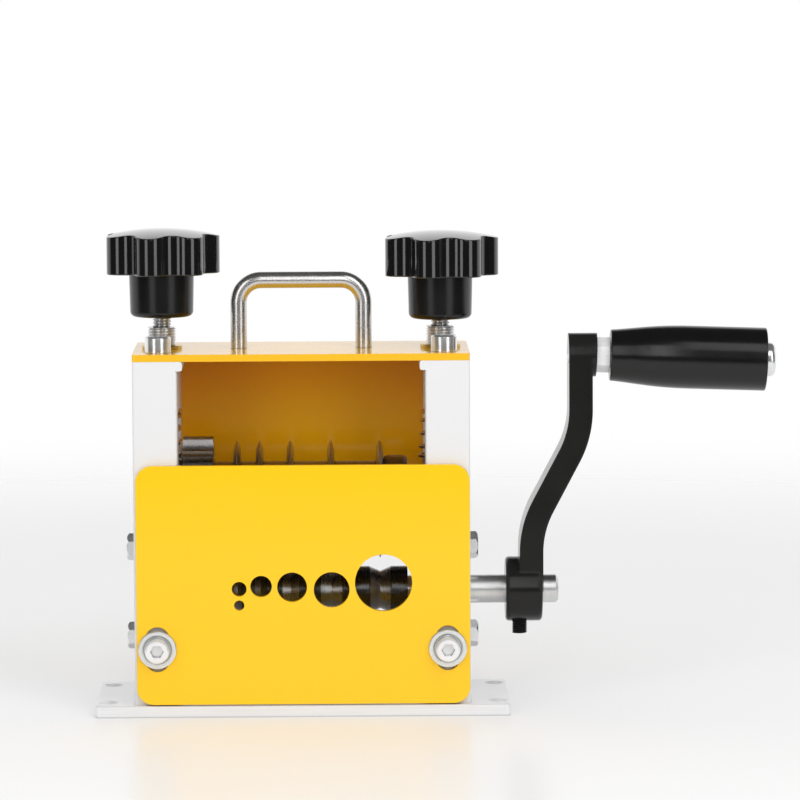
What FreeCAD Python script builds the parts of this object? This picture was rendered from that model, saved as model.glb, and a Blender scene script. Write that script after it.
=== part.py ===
"""Hand crank wire stripper: every piece is its own solid, written to parts/NAME.step.

Millimetres.  The origin is the middle of the base plate's underside, +X runs along the
shafts to the crank, +Y to the back and +Z up.  The cables enter at the front plate,
ride over the feed roller and under the round blades, and leave at the back.
"""
import FreeCAD, Part

import math
import os

V = FreeCAD.Vector
X_AXIS = V(1, 0, 0)
Y_AXIS = V(0, 1, 0)
Z_AXIS = V(0, 0, 1)
SLOPE_SLACK = 0.01

# ---- widths, from the left frame's inner face to the right one's
GEAR_STANDOFF = 1.4
GEAR_FACE = 13.0
GEAR_TO_FIRST_BLADE = 10.1
BLADE_PITCHES = (9.5, 13.0, 17.2, 20.8)
BLADE_THICKNESS = 3.0
LOCK_NUT_LENGTH = 10.1
END_SPACER_ROOM = 7.4

# ---- side frames
FRAME_WIDTH = 18.7
FRAME_DEPTH = 60.0
FRAME_EDGE_RADIUS = 1.0
FRAME_LIP = 2.3
FRAME_LIP_THICKNESS = 4.0
FRAME_HEAD_HEIGHT = 22.5
WINDOW_WIDTH_INSIDE = 30.0
WINDOW_WIDTH_OUTSIDE = 22.0
WINDOW_STEP_DEPTH = 8.0

# ---- base plate
BASE_END_MARGIN = 16.8
BASE_SIDE_MARGIN = 3.0
BASE_THICKNESS = 5.0
BASE_CORNER_RADIUS = 2.0
BASE_EDGE_CHAMFER = 0.4
MOUNT_HOLE_INSET_X = 5.5
MOUNT_HOLE_INSET_Y = 10.0
MOUNT_HOLE_DIAMETER = 6.5
MOUNT_SINK_DIAMETER = 8.6

# ---- shafts and bearings
SHAFT_DIAMETER = 12.0
CRANK_AXIS_Z = 49.3
SHAFT_CHAMFER = 1.0
RUNNING_CLEARANCE = 0.05
SLIDING_GAP = 0.15
JOURNAL_SETBACK = 0.6
SHOULDER_DIAMETER = 19.0
BEARING_BARREL_DIAMETER = 18.0
BEARING_FLANGE_THICKNESS = 4.0
BEARING_FLANGE_WIDTH = 11.4
BEARING_FLANGE_MIDDLE = 26.0
SIDE_BOLT_OFFSET = 19.0
BLADE_BUSH_DIAMETER = 16.0

# ---- gears
GEAR_MODULE = 3.0
UPPER_TEETH = 16
LOWER_TEETH = 10
GEAR_PRESSURE_ANGLE = math.radians(20.0)
GEAR_THINNING = 1.25
GEAR_ROOT_CLEARANCE = 0.4
GEAR_UNDERCUT = 0.62
KEY_WIDTH = 4.0
KEY_HEIGHT = 4.0
KEY_LENGTH = 12.0

# ---- height adjustment
HEIGHT_TRAVEL = 2.5
TRAVEL_CLEARANCE = 0.3
BLOCK_BELOW_AXIS = 10.0
BLOCK_ABOVE_AXIS = 16.7
SPRING_LENGTH = 22.5
SPRING_DIAMETER = 16.2
SPRING_WIRE = 2.0
SPRING_TURNS = 3.6
KNOB_INSET = 11.7
SCREW_DIAMETER = 8.0
SCREW_FOOT_DIAMETER = 12.0
SCREW_FOOT_THICKNESS = 2.3
SCREW_HOLE_CLEARANCE = 0.5
T_SLOT_LIP = 2.5
T_SLOT_GAP = 0.2
BUSH_DIAMETER = 12.0
BUSH_TOP_HEIGHT = 9.2
BUSH_FLANGE_DIAMETER = 17.0
BUSH_FLANGE_THICKNESS = 1.5
BUSH_DEPTH = 13.0

# ---- yellow plates
PLATE_THICKNESS = 3.0
FRONT_PLATE_SIDE_GAP = 0.7
FRONT_PLATE_SHIFT = 0.4
FRONT_PLATE_HEIGHT = 101.0
FRONT_PLATE_LIFT = 0.5
FRONT_PLATE_CORNER_RADIUS = 7.0
FRONT_SLOT_WIDTH = 10.0
FRONT_SLOT_LENGTH = 19.0
FRONT_SCREW_HEIGHT = 24.0
FRONT_SCREW_INSET = 9.7
TOP_PLATE_CORNER_RADIUS = 1.0
BACK_PLATE_BELOW_AXIS = 12.3
BACK_PLATE_CORNER_RADIUS = 5.0
BACK_SCREW_LOW = 14.0

# ---- feed holes of each blade in turn: x from the blade, z from the crank axis, diameter
FEED_HOLES = (
    ((1.0, 5.1, 6.2), (1.0, -1.8, 4.3)),
    ((0.7, 6.2, 9.0),),
    ((0.7, 5.8, 12.5),),
    ((0.1, 4.6, 15.0),),
    ((1.1, 7.4, 24.0),),
)

# ---- star knobs; the angles are those of a lobe from +X
KNOB_DIAMETER = 49.5
KNOB_LOBES = 7
KNOB_LOBE_RADIUS = 6.4
KNOB_VALLEY_RADIUS = 6.0
KNOB_HUB_TOP_DIAMETER = 27.8
KNOB_HUB_BOTTOM_DIAMETER = 26.6
KNOB_HUB_HEIGHT = 18.4
KNOB_HUB_EDGE_RADIUS = 2.3
KNOB_LOBE_HEIGHT = 15.8
KNOB_DOME_HEIGHT = 3.0
KNOB_EDGE_RADIUS = 0.5
LEFT_KNOB_ANGLE = math.radians(1.0)
RIGHT_KNOB_ANGLE = math.radians(-3.0)
LEFT_KNOB_LIFT = 13.8
RIGHT_KNOB_LIFT = 12.4
KNOB_SCREW_ENGAGEMENT = 14.0

# ---- blades, sleeves and feed roller
BLADE_DIAMETER = 50.0
BLADE_BEVEL_DEPTH = 5.0
BLADE_EDGE_WIDTH = 0.3
BLADE_BULGE = 0.35
SLEEVE_DIAMETER = 32.4
SLEEVE_CHAMFER = 0.5
LOCK_NUT_DIAMETER = 37.2
LOCK_NUT_EDGE_RADIUS = 2.0
LOCK_NUT_FLAT = 32.0
SPACER_DIAMETER = 18.0
ROLLER_DIAMETER = 20.0
ROLLER_GROOVES = ((4.0, 1.0), (5.5, 1.3), (8.0, 1.6), (10.0, 2.0), (9.6, 2.0))
ROLLER_PIN_DIAMETER = 3.0
ROLLER_PIN_FROM_END = 2.6
COLLAR_DIAMETER = 22.0
COLLAR_WIDTH = 4.8

# ---- crank
CRANK_THROW = 100.0
CRANK_HUB_STANDOFF = 15.6
CRANK_HUB_DIAMETER = 27.5
CRANK_HUB_LENGTH = 15.6
CRANK_HUB_EDGE_RADIUS = 1.5
SHAFT_STANDOUT = 6.9
ARM_FROM_HUB_END = 4.7
ARM_OFFSET = 21.1
ARM_THICKNESS = 10.0
ARM_WIDTH_AT_HUB = 22.0
ARM_BEND_RADIUS = 42.0
ARM_BEND_ANGLE = math.radians(28.0)
ARM_BEND_START = 16.7
BOSS_DIAMETER = 18.6
BOSS_STANDOUT = 6.9
SET_SCREW_FROM_HUB_END = 9.5
SET_SCREW_DIAMETER = 6.4
SET_SCREW_STANDOUT = 5.2

# ---- handle; its bolt leans a little, so the grip droops towards its free end
HANDLE_LEAN = math.radians(1.9)
HANDLE_BOLT_DIAMETER = 8.0
HANDLE_NUT_THICKNESS = 5.6
HANDLE_NUT_ACROSS_FLATS = 13.0
GRIP_LENGTH = 66.2
GRIP_GAP = 0.3
GRIP_SMALL_DIAMETER = 21.8
GRIP_LARGE_DIAMETER = 26.8
GRIP_SWELL_LENGTH = 34.0
GRIP_SWELL_BULGE = 0.5
GRIP_START_SLOPE = 0.08
GRIP_EDGE_RADIUS = 0.5
GRIP_BORE_CLEARANCE = 0.1
HANDLE_HEAD_DIAMETER = 14.4
HANDLE_HEAD_THICKNESS = 3.8
HANDLE_HEAD_EDGE_RADIUS = 2.3

# ---- carry handle
CARRY_LEG_SPACING = 52.9
CARRY_ROD_DIAMETER = 7.0
CARRY_HEIGHT = 32.4
CARRY_BEND_RADIUS = 9.5
CARRY_NUT_ACROSS_FLATS = 11.0
CARRY_NUT_THICKNESS = 2.2

# ---- fasteners
M6_DIAMETER = 6.0
M6_CLEARANCE_DIAMETER = 6.6
M6_HEAD_DIAMETER = 10.0
M6_HEAD_HEIGHT = 6.0
M6_HEX_FLATS = 10.0
M6_HEX_HEIGHT = 4.0
M6_HEX_CROWN = 0.9
M6_SINK_HEAD_DIAMETER = 11.4
HEAD_CHAMFER = 0.7
SOCKET_FLATS = 5.0
SOCKET_DEPTH = 3.0
SMALL_SOCKET_FLATS = 4.0
SMALL_SOCKET_DEPTH = 2.0
SET_SCREW_SOCKET_FLATS = 3.0
FRONT_WASHER_DIAMETER = 16.0
FRONT_WASHER_THICKNESS = 1.6
FRONT_WASHER_SEAT = 0.8
FRONT_WASHER_RIM = 1.6
FRONT_WASHER_EDGE = 0.4
FRONT_SCREW_REACH = 16.0
TOP_SCREW_HEAD_DIAMETER = 11.0
TOP_SCREW_HEAD_HEIGHT = 7.0
TOP_SCREW_INSET = 10.6
TOP_SCREW_FROM_FACE = 10.0
TOP_SCREW_REACH = 12.0
BASE_SCREW_FROM_FACE = 12.0
BASE_SCREW_REACH = 14.0
BACK_SCREW_REACH = 10.0
SCREW_WALL = 2.0
BUTTON_HEAD_DIAMETER = 10.5
BUTTON_HEAD_HEIGHT = 3.3

# ---- places across the width
INNER_WIDTH = (GEAR_STANDOFF + GEAR_FACE + GEAR_TO_FIRST_BLADE + sum(BLADE_PITCHES) + BLADE_THICKNESS / 2
               + LOCK_NUT_LENGTH + END_SPACER_ROOM)
FRAME_INNER_X = INNER_WIDTH / 2
FRAME_OUTER_X = FRAME_INNER_X + FRAME_WIDTH
FRAME_MIDDLE_X = FRAME_INNER_X + FRAME_WIDTH / 2
WINDOW_STEP_X = FRAME_INNER_X + WINDOW_STEP_DEPTH
GEAR_LEFT_X = -FRAME_INNER_X + GEAR_STANDOFF
GEAR_RIGHT_X = GEAR_LEFT_X + GEAR_FACE
BLADE_X = [GEAR_RIGHT_X + GEAR_TO_FIRST_BLADE + sum(BLADE_PITCHES[:i]) for i in range(len(BLADE_PITCHES) + 1)]
LOCK_NUT_LEFT_X = BLADE_X[-1] + BLADE_THICKNESS / 2
LOCK_NUT_RIGHT_X = LOCK_NUT_LEFT_X + LOCK_NUT_LENGTH
ROLLER_RIGHT_X = LOCK_NUT_RIGHT_X
ROLLER_PIN_X = ROLLER_RIGHT_X - ROLLER_PIN_FROM_END
KNOB_AXIS_X = FRAME_OUTER_X - KNOB_INSET
FRONT_SCREW_X = FRAME_OUTER_X - FRONT_SCREW_INSET
TOP_SCREW_X = FRAME_OUTER_X - TOP_SCREW_INSET
CRANK_HUB_LEFT_X = FRAME_OUTER_X + CRANK_HUB_STANDOFF
CRANK_HUB_RIGHT_X = CRANK_HUB_LEFT_X + CRANK_HUB_LENGTH
CRANK_SHAFT_END_X = CRANK_HUB_RIGHT_X + SHAFT_STANDOUT
SET_SCREW_X = CRANK_HUB_RIGHT_X - SET_SCREW_FROM_HUB_END
ARM_LOWER_X = CRANK_HUB_RIGHT_X - ARM_FROM_HUB_END
ARM_UPPER_X = ARM_LOWER_X + ARM_OFFSET
BOSS_RIGHT_X = ARM_UPPER_X + BOSS_STANDOUT

# ---- places from front to back
FRAME_FRONT_Y = -FRAME_DEPTH / 2
FRAME_BACK_Y = FRAME_DEPTH / 2
FRONT_PLATE_BACK_Y = FRAME_FRONT_Y - SLIDING_GAP
FRONT_PLATE_FACE_Y = FRONT_PLATE_BACK_Y - PLATE_THICKNESS
TOP_SCREW_Y = FRAME_BACK_Y - TOP_SCREW_FROM_FACE
BASE_SCREW_Y = FRAME_BACK_Y - BASE_SCREW_FROM_FACE

# ---- heights
UPPER_PITCH_RADIUS = GEAR_MODULE * UPPER_TEETH / 2
LOWER_PITCH_RADIUS = GEAR_MODULE * LOWER_TEETH / 2
GEAR_CENTRES = UPPER_PITCH_RADIUS + LOWER_PITCH_RADIUS
BLADE_AXIS_Z = CRANK_AXIS_Z + GEAR_CENTRES
WINDOW_BOTTOM = BLADE_AXIS_Z - BLOCK_BELOW_AXIS - HEIGHT_TRAVEL - TRAVEL_CLEARANCE
BLOCK_TOP_Z = BLADE_AXIS_Z + BLOCK_ABOVE_AXIS
WINDOW_TOP = BLOCK_TOP_Z + SPRING_LENGTH
FRAME_TOP = WINDOW_TOP + FRAME_HEAD_HEIGHT
TOP_PLATE_TOP = FRAME_TOP + PLATE_THICKNESS
LEFT_KNOB_BOTTOM_Z = TOP_PLATE_TOP + LEFT_KNOB_LIFT
RIGHT_KNOB_BOTTOM_Z = TOP_PLATE_TOP + RIGHT_KNOB_LIFT
CARRY_TOP_Z = TOP_PLATE_TOP + CARRY_HEIGHT
FRONT_PLATE_BOTTOM = BASE_THICKNESS + FRONT_PLATE_LIFT
FRONT_SCREW_Z = BASE_THICKNESS + FRONT_SCREW_HEIGHT
BACK_PLATE_BOTTOM = BLADE_AXIS_Z - BACK_PLATE_BELOW_AXIS
BACK_SCREW_BOTTOM_Z = BACK_PLATE_BOTTOM + BACK_SCREW_LOW
BACK_SCREW_TOP_Z = FRAME_TOP - TOP_SCREW_REACH - SCREW_WALL - M6_DIAMETER / 2
HANDLE_AXIS_Z = CRANK_AXIS_Z + CRANK_THROW
SHAFT_RADIUS = SHAFT_DIAMETER / 2


# ---------------------------------------------------------------- shapes used by many pieces

def block(x_range, y_range, z_range):
    """Box between two values on each axis."""
    size = [high - low for low, high in (x_range, y_range, z_range)]
    return Part.makeBox(*size, V(x_range[0], y_range[0], z_range[0]))


def rod(diameter, start, direction, length):
    """Round bar from start along direction."""
    return Part.makeCylinder(diameter / 2, length, start, direction)


def x_rod(diameter, x_from, x_to, z, y=0.0):
    """Round bar along X."""
    return rod(diameter, V(x_from, y, z), X_AXIS, x_to - x_from)


def hexagon(across_flats, start, direction, length):
    """Hexagonal bar from start along direction, one corner turned to the side."""
    corner = across_flats / math.sqrt(3)
    points = [V(corner * math.cos(math.radians(60 * i)), corner * math.sin(math.radians(60 * i)), 0)
              for i in range(6)]
    prism = Part.Face(Part.makePolygon(points + points[:1])).extrude(V(0, 0, length))
    prism.Placement = FreeCAD.Placement(start, FreeCAD.Rotation(Z_AXIS, direction))
    return prism


def edges_along(shape, axis):
    """Edges that run along an axis."""
    return [e for e in shape.Edges if e.tangentAt(e.FirstParameter).cross(axis).Length < SLOPE_SLACK]


def rounded_plate(x_range, z_range, y_range, radius):
    """Upright plate with round corners, its thickness along Y."""
    plate = block(x_range, y_range, z_range)
    return plate.makeFillet(radius, edges_along(plate, Y_AXIS))


def cap_screw(head_diameter, head_height, shank_diameter, reach, seat, inward):
    """Socket head screw: seat is under the head, inward points along the shank."""
    outward = inward * -1
    head = rod(head_diameter, seat, outward, head_height)
    rim = [e for e in head.Edges if e.Curve.TypeId == "Part::GeomCircle"
           and (e.Curve.Center - seat).Length > head_height / 2]
    head = head.makeChamfer(HEAD_CHAMFER, rim)
    socket = hexagon(SOCKET_FLATS, seat + outward * (head_height - SOCKET_DEPTH), outward, SOCKET_DEPTH)
    return head.fuse(rod(shank_diameter, seat, inward, reach)).removeSplitter().cut(socket)


def mirrored(shape):
    """The right-hand twin of a left-hand piece."""
    return shape.mirror(V(0, 0, 0), X_AXIS)


def turned(edges, centre, axis):
    """Solid of revolution of a closed profile about an axis through centre."""
    solid = Part.Face(Part.Wire(edges)).revolve(centre, axis, 360)
    if solid.Volume < 0:
        solid.reverse()
    return solid


def polygon_edges(points):
    """Straight edges round a closed polygon."""
    return [Part.LineSegment(a, b).toShape() for a, b in zip(points, points[1:] + points[:1])]


def joined(solids):
    """Separate solids kept in one node."""
    return Part.makeCompound(solids)


# ---------------------------------------------------------------- base, frames and plates

def base_plate():
    """Flat plate with four sunk mounting holes and four countersinks under the frames."""
    half_x = FRAME_OUTER_X + BASE_END_MARGIN
    half_y = FRAME_BACK_Y + BASE_SIDE_MARGIN
    plate = block((-half_x, half_x), (-half_y, half_y), (0, BASE_THICKNESS))
    plate = plate.makeFillet(BASE_CORNER_RADIUS, edges_along(plate, Z_AXIS))
    rim = [e for e in plate.Edges if e.BoundBox.ZMin > BASE_THICKNESS / 2]
    plate = plate.makeChamfer(BASE_EDGE_CHAMFER, rim)
    sink_depth = (MOUNT_SINK_DIAMETER - MOUNT_HOLE_DIAMETER) / 2
    for side in (-1, 1):
        for end in (-1, 1):
            centre = V(side * (half_x - MOUNT_HOLE_INSET_X), end * (half_y - MOUNT_HOLE_INSET_Y), 0)
            plate = plate.cut(rod(MOUNT_HOLE_DIAMETER, centre, Z_AXIS, BASE_THICKNESS))
            plate = plate.cut(Part.makeCone(MOUNT_HOLE_DIAMETER / 2, MOUNT_SINK_DIAMETER / 2, sink_depth,
                                            centre + Z_AXIS * (BASE_THICKNESS - sink_depth)))
    for x, y in base_screw_places():
        plate = plate.cut(base_screw(x, y))
    return plate


def base_screw(x, y):
    """Countersunk screw that holds a side frame from below."""
    sink = (M6_SINK_HEAD_DIAMETER - M6_DIAMETER) / 2
    head = Part.makeCone(M6_SINK_HEAD_DIAMETER / 2, M6_DIAMETER / 2, sink, V(x, y, 0))
    shank = rod(M6_DIAMETER, V(x, y, sink), Z_AXIS, BASE_THICKNESS - sink + BASE_SCREW_REACH)
    return head.fuse(shank)


def base_screws():
    return joined([base_screw(x, y).cut(hexagon(SMALL_SOCKET_FLATS, V(x, y, 0), Z_AXIS, SMALL_SOCKET_DEPTH))
                   for x, y in base_screw_places()])


def base_screw_places():
    return [(side * FRAME_MIDDLE_X, end * BASE_SCREW_Y) for side in (-1, 1) for end in (-1, 1)]


def bearing_outline(clearance, x_from, x_to):
    """Two-bolt flange: a round middle and a long slim bar with round ends."""
    width = BEARING_FLANGE_WIDTH + 2 * clearance
    middle = x_rod(BEARING_FLANGE_MIDDLE + 2 * clearance, x_from, x_to, CRANK_AXIS_Z)
    bar = block((x_from, x_to), (-width / 2, width / 2),
                (CRANK_AXIS_Z - SIDE_BOLT_OFFSET, CRANK_AXIS_Z + SIDE_BOLT_OFFSET))
    for offset in (-SIDE_BOLT_OFFSET, SIDE_BOLT_OFFSET):
        bar = bar.fuse(x_rod(width, x_from, x_to, CRANK_AXIS_Z + offset))
    return middle.fuse(bar).removeSplitter()


def left_side_frame():
    """Thick upright with a lipped head, a stepped window for the bearing block and the fixings' holes."""
    outer = -FRAME_OUTER_X
    inner = -FRAME_INNER_X
    lip_x = inner + FRAME_LIP
    frame = block((outer, inner), (FRAME_FRONT_Y, FRAME_BACK_Y), (BASE_THICKNESS, FRAME_TOP))
    frame = frame.makeFillet(FRAME_EDGE_RADIUS, edges_along(frame, Z_AXIS))
    lip = block((inner - FRAME_WIDTH / 2, lip_x), (FRAME_FRONT_Y, FRAME_BACK_Y),
                (FRAME_TOP - FRAME_LIP_THICKNESS, FRAME_TOP))
    nose = [e for e in edges_along(lip, Y_AXIS) if e.BoundBox.XMin > inner]
    frame = frame.fuse(lip.makeFillet(FRAME_EDGE_RADIUS, nose)).removeSplitter()

    half_in = WINDOW_WIDTH_INSIDE / 2
    half_out = WINDOW_WIDTH_OUTSIDE / 2
    tall = (WINDOW_BOTTOM, WINDOW_TOP)
    frame = frame.cut(block((-WINDOW_STEP_X, inner + FRAME_LIP), (-half_in, half_in), tall))
    frame = frame.cut(block((outer, inner), (-half_out, half_out), tall))

    frame = frame.cut(bearing_outline(SLIDING_GAP, inner - BEARING_FLANGE_THICKNESS, inner))
    frame = frame.cut(x_rod(BEARING_BARREL_DIAMETER, outer, inner, CRANK_AXIS_Z))
    for offset in (-SIDE_BOLT_OFFSET, SIDE_BOLT_OFFSET):
        frame = frame.cut(x_rod(M6_CLEARANCE_DIAMETER, outer, inner, CRANK_AXIS_Z + offset))
    for x, y in base_screw_places():
        frame = frame.cut(rod(M6_DIAMETER, V(x, y, BASE_THICKNESS), Z_AXIS, BASE_SCREW_REACH))
    frame = frame.cut(rod(M6_DIAMETER, V(-FRONT_SCREW_X, FRAME_FRONT_Y, FRONT_SCREW_Z), Y_AXIS,
                          FRONT_SCREW_REACH))
    for z in (BACK_SCREW_BOTTOM_Z, BACK_SCREW_TOP_Z):
        frame = frame.cut(rod(M6_DIAMETER, V(-FRAME_MIDDLE_X, FRAME_BACK_Y, z), Y_AXIS * -1, BACK_SCREW_REACH))
    for end in (-1, 1):
        frame = frame.cut(rod(M6_DIAMETER, V(-TOP_SCREW_X, end * TOP_SCREW_Y, FRAME_TOP), Z_AXIS * -1,
                              TOP_SCREW_REACH))
    screw_hole = rod(SCREW_DIAMETER + 2 * SCREW_HOLE_CLEARANCE, V(-KNOB_AXIS_X, 0, WINDOW_TOP), Z_AXIS,
                     FRAME_TOP - WINDOW_TOP)
    bush_hole = rod(BUSH_DIAMETER, V(-KNOB_AXIS_X, 0, TOP_PLATE_TOP - BUSH_DEPTH), Z_AXIS, BUSH_DEPTH)
    return frame.cut(screw_hole).cut(bush_hole)


def top_plate():
    """Yellow plate across both frames, bored for the knob bushes, its screws and the carry handle."""
    half = FRAME_OUTER_X
    plate = block((-half, half), (FRAME_FRONT_Y, FRAME_BACK_Y), (FRAME_TOP, TOP_PLATE_TOP))
    plate = plate.makeFillet(TOP_PLATE_CORNER_RADIUS, edges_along(plate, Z_AXIS))
    low = FRAME_TOP
    for side in (-1, 1):
        plate = plate.cut(rod(BUSH_DIAMETER, V(side * KNOB_AXIS_X, 0, low), Z_AXIS, PLATE_THICKNESS))
        plate = plate.cut(rod(CARRY_ROD_DIAMETER, V(side * CARRY_LEG_SPACING / 2, 0, low), Z_AXIS,
                              PLATE_THICKNESS))
        for end in (-1, 1):
            centre = V(side * TOP_SCREW_X, end * TOP_SCREW_Y, low)
            plate = plate.cut(rod(M6_CLEARANCE_DIAMETER, centre, Z_AXIS, PLATE_THICKNESS))
    return plate


def top_plate_screws():
    return joined([cap_screw(TOP_SCREW_HEAD_DIAMETER, TOP_SCREW_HEAD_HEIGHT, M6_DIAMETER,
                             PLATE_THICKNESS + TOP_SCREW_REACH,
                             V(side * TOP_SCREW_X, end * TOP_SCREW_Y, TOP_PLATE_TOP), Z_AXIS * -1)
                   for side in (-1, 1) for end in (-1, 1)])


def front_plate():
    """Yellow guide plate with one feed hole for each cable size and two upright slots."""
    half = FRAME_OUTER_X - FRONT_PLATE_SIDE_GAP
    thickness = (FRONT_PLATE_FACE_Y, FRONT_PLATE_BACK_Y)
    plate = rounded_plate((FRONT_PLATE_SHIFT - half, FRONT_PLATE_SHIFT + half),
                          (FRONT_PLATE_BOTTOM, FRONT_PLATE_BOTTOM + FRONT_PLATE_HEIGHT),
                          thickness, FRONT_PLATE_CORNER_RADIUS)
    for blade_x, holes in zip(BLADE_X, FEED_HOLES):
        for x, z, diameter in holes:
            centre = V(blade_x + x, FRONT_PLATE_FACE_Y, CRANK_AXIS_Z + z)
            plate = plate.cut(rod(diameter, centre, Y_AXIS, PLATE_THICKNESS))
    straight = (FRONT_SLOT_LENGTH - FRONT_SLOT_WIDTH) / 2
    for side in (-1, 1):
        x = side * FRONT_SCREW_X
        slot = block((x - FRONT_SLOT_WIDTH / 2, x + FRONT_SLOT_WIDTH / 2), thickness,
                     (FRONT_SCREW_Z - straight, FRONT_SCREW_Z + straight))
        for end in (-straight, straight):
            slot = slot.fuse(rod(FRONT_SLOT_WIDTH, V(x, FRONT_PLATE_FACE_Y, FRONT_SCREW_Z + end), Y_AXIS,
                                 PLATE_THICKNESS))
        plate = plate.cut(slot)
    return plate


def front_plate_washers():
    """Dished washers: a raised rim around a sunk middle that the screw head sits in."""
    face = FRONT_PLATE_FACE_Y - SLIDING_GAP
    radius = FRONT_WASHER_DIAMETER / 2
    hole = M6_DIAMETER / 2
    rim = radius - FRONT_WASHER_RIM
    deep = face - FRONT_WASHER_SEAT
    high = face - FRONT_WASHER_THICKNESS
    edge = FRONT_WASHER_EDGE
    profile = [(hole, face), (radius, face), (radius, high + edge), (radius - edge, high), (rim, high),
               (rim + high - deep, deep), (hole, deep)]
    washers = []
    for side in (-1, 1):
        x = side * FRONT_SCREW_X
        points = [V(x + r, y, FRONT_SCREW_Z) for r, y in profile]
        washers.append(turned(polygon_edges(points), V(x, 0, FRONT_SCREW_Z), Y_AXIS))
    return joined(washers)


def front_plate_screws():
    seat_y = FRONT_PLATE_FACE_Y - SLIDING_GAP - FRONT_WASHER_SEAT
    reach = FRAME_FRONT_Y - seat_y + FRONT_SCREW_REACH
    return joined([cap_screw(M6_HEAD_DIAMETER, M6_HEAD_HEIGHT, M6_DIAMETER, reach,
                             V(side * FRONT_SCREW_X, seat_y, FRONT_SCREW_Z), Y_AXIS) for side in (-1, 1)])


def back_plate():
    """Yellow plate behind the blades; the cables leave below its bottom edge."""
    plate = rounded_plate((-FRAME_OUTER_X, FRAME_OUTER_X), (BACK_PLATE_BOTTOM, FRAME_TOP),
                          (FRAME_BACK_Y, FRAME_BACK_Y + PLATE_THICKNESS), BACK_PLATE_CORNER_RADIUS)
    for x, z in back_screw_places():
        plate = plate.cut(rod(M6_CLEARANCE_DIAMETER, V(x, FRAME_BACK_Y, z), Y_AXIS, PLATE_THICKNESS))
    return plate


def back_screw_places():
    return [(side * FRAME_MIDDLE_X, z) for side in (-1, 1) for z in (BACK_SCREW_BOTTOM_Z, BACK_SCREW_TOP_Z)]


def back_plate_screws():
    """Button head screws: a low dome with a hexagon socket."""
    seat_y = FRAME_BACK_Y + PLATE_THICKNESS
    radius = BUTTON_HEAD_DIAMETER / 2
    ball_radius = (radius ** 2 + BUTTON_HEAD_HEIGHT ** 2) / (2 * BUTTON_HEAD_HEIGHT)
    screws = []
    for x, z in back_screw_places():
        ball = Part.makeSphere(ball_radius, V(x, seat_y + BUTTON_HEAD_HEIGHT - ball_radius, z))
        dome = ball.common(rod(BUTTON_HEAD_DIAMETER, V(x, seat_y, z), Y_AXIS, BUTTON_HEAD_HEIGHT))
        shank = rod(M6_DIAMETER, V(x, seat_y, z), Y_AXIS * -1, PLATE_THICKNESS + BACK_SCREW_REACH)
        socket = hexagon(SMALL_SOCKET_FLATS, V(x, seat_y + BUTTON_HEAD_HEIGHT - SMALL_SOCKET_DEPTH, z), Y_AXIS,
                         SMALL_SOCKET_DEPTH)
        screws.append(dome.fuse(shank).cut(socket))
    return joined(screws)


def carry_handle():
    """Bent rod: two legs through the top plate joined by a straight top with round bends."""
    half = CARRY_LEG_SPACING / 2
    axis_top = CARRY_TOP_Z - CARRY_ROD_DIAMETER / 2
    foot = FRAME_TOP - CARRY_NUT_THICKNESS
    bend = CARRY_BEND_RADIUS
    diagonal = bend * (1 - math.sqrt(0.5))
    left_leg = Part.LineSegment(V(-half, 0, foot), V(-half, 0, axis_top - bend)).toShape()
    left_bend = Part.Arc(V(-half, 0, axis_top - bend), V(-half + diagonal, 0, axis_top - diagonal),
                         V(-half + bend, 0, axis_top)).toShape()
    top = Part.LineSegment(V(-half + bend, 0, axis_top), V(half - bend, 0, axis_top)).toShape()
    right_bend = Part.Arc(V(half - bend, 0, axis_top), V(half - diagonal, 0, axis_top - diagonal),
                          V(half, 0, axis_top - bend)).toShape()
    right_leg = Part.LineSegment(V(half, 0, axis_top - bend), V(half, 0, foot)).toShape()
    path = Part.Wire([left_leg, left_bend, top, right_bend, right_leg])
    section = Part.Wire([Part.Circle(V(-half, 0, foot), Z_AXIS, CARRY_ROD_DIAMETER / 2).toShape()])
    return path.makePipeShell([section], True, False)


def carry_handle_nuts():
    nuts = []
    for side in (-1, 1):
        start = V(side * CARRY_LEG_SPACING / 2, 0, FRAME_TOP - CARRY_NUT_THICKNESS)
        nut = hexagon(CARRY_NUT_ACROSS_FLATS, start, Z_AXIS, CARRY_NUT_THICKNESS)
        nuts.append(nut.cut(rod(CARRY_ROD_DIAMETER, start, Z_AXIS, CARRY_NUT_THICKNESS)))
    return joined(nuts)


# ---------------------------------------------------------------- lower bearings and side bolts

def left_lower_bearing():
    """Flanged plain bearing let into the frame, held by the two side bolts."""
    inner = -FRAME_INNER_X
    flange = bearing_outline(0, inner - BEARING_FLANGE_THICKNESS, inner)
    barrel = x_rod(BEARING_BARREL_DIAMETER, -FRAME_OUTER_X, inner, CRANK_AXIS_Z)
    bearing = flange.fuse(barrel).removeSplitter()
    bearing = bearing.cut(x_rod(SHAFT_DIAMETER + 2 * RUNNING_CLEARANCE, -FRAME_OUTER_X, inner, CRANK_AXIS_Z))
    for offset in (-SIDE_BOLT_OFFSET, SIDE_BOLT_OFFSET):
        bearing = bearing.cut(x_rod(M6_DIAMETER, -FRAME_OUTER_X, inner, CRANK_AXIS_Z + offset))
    return bearing


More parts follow.
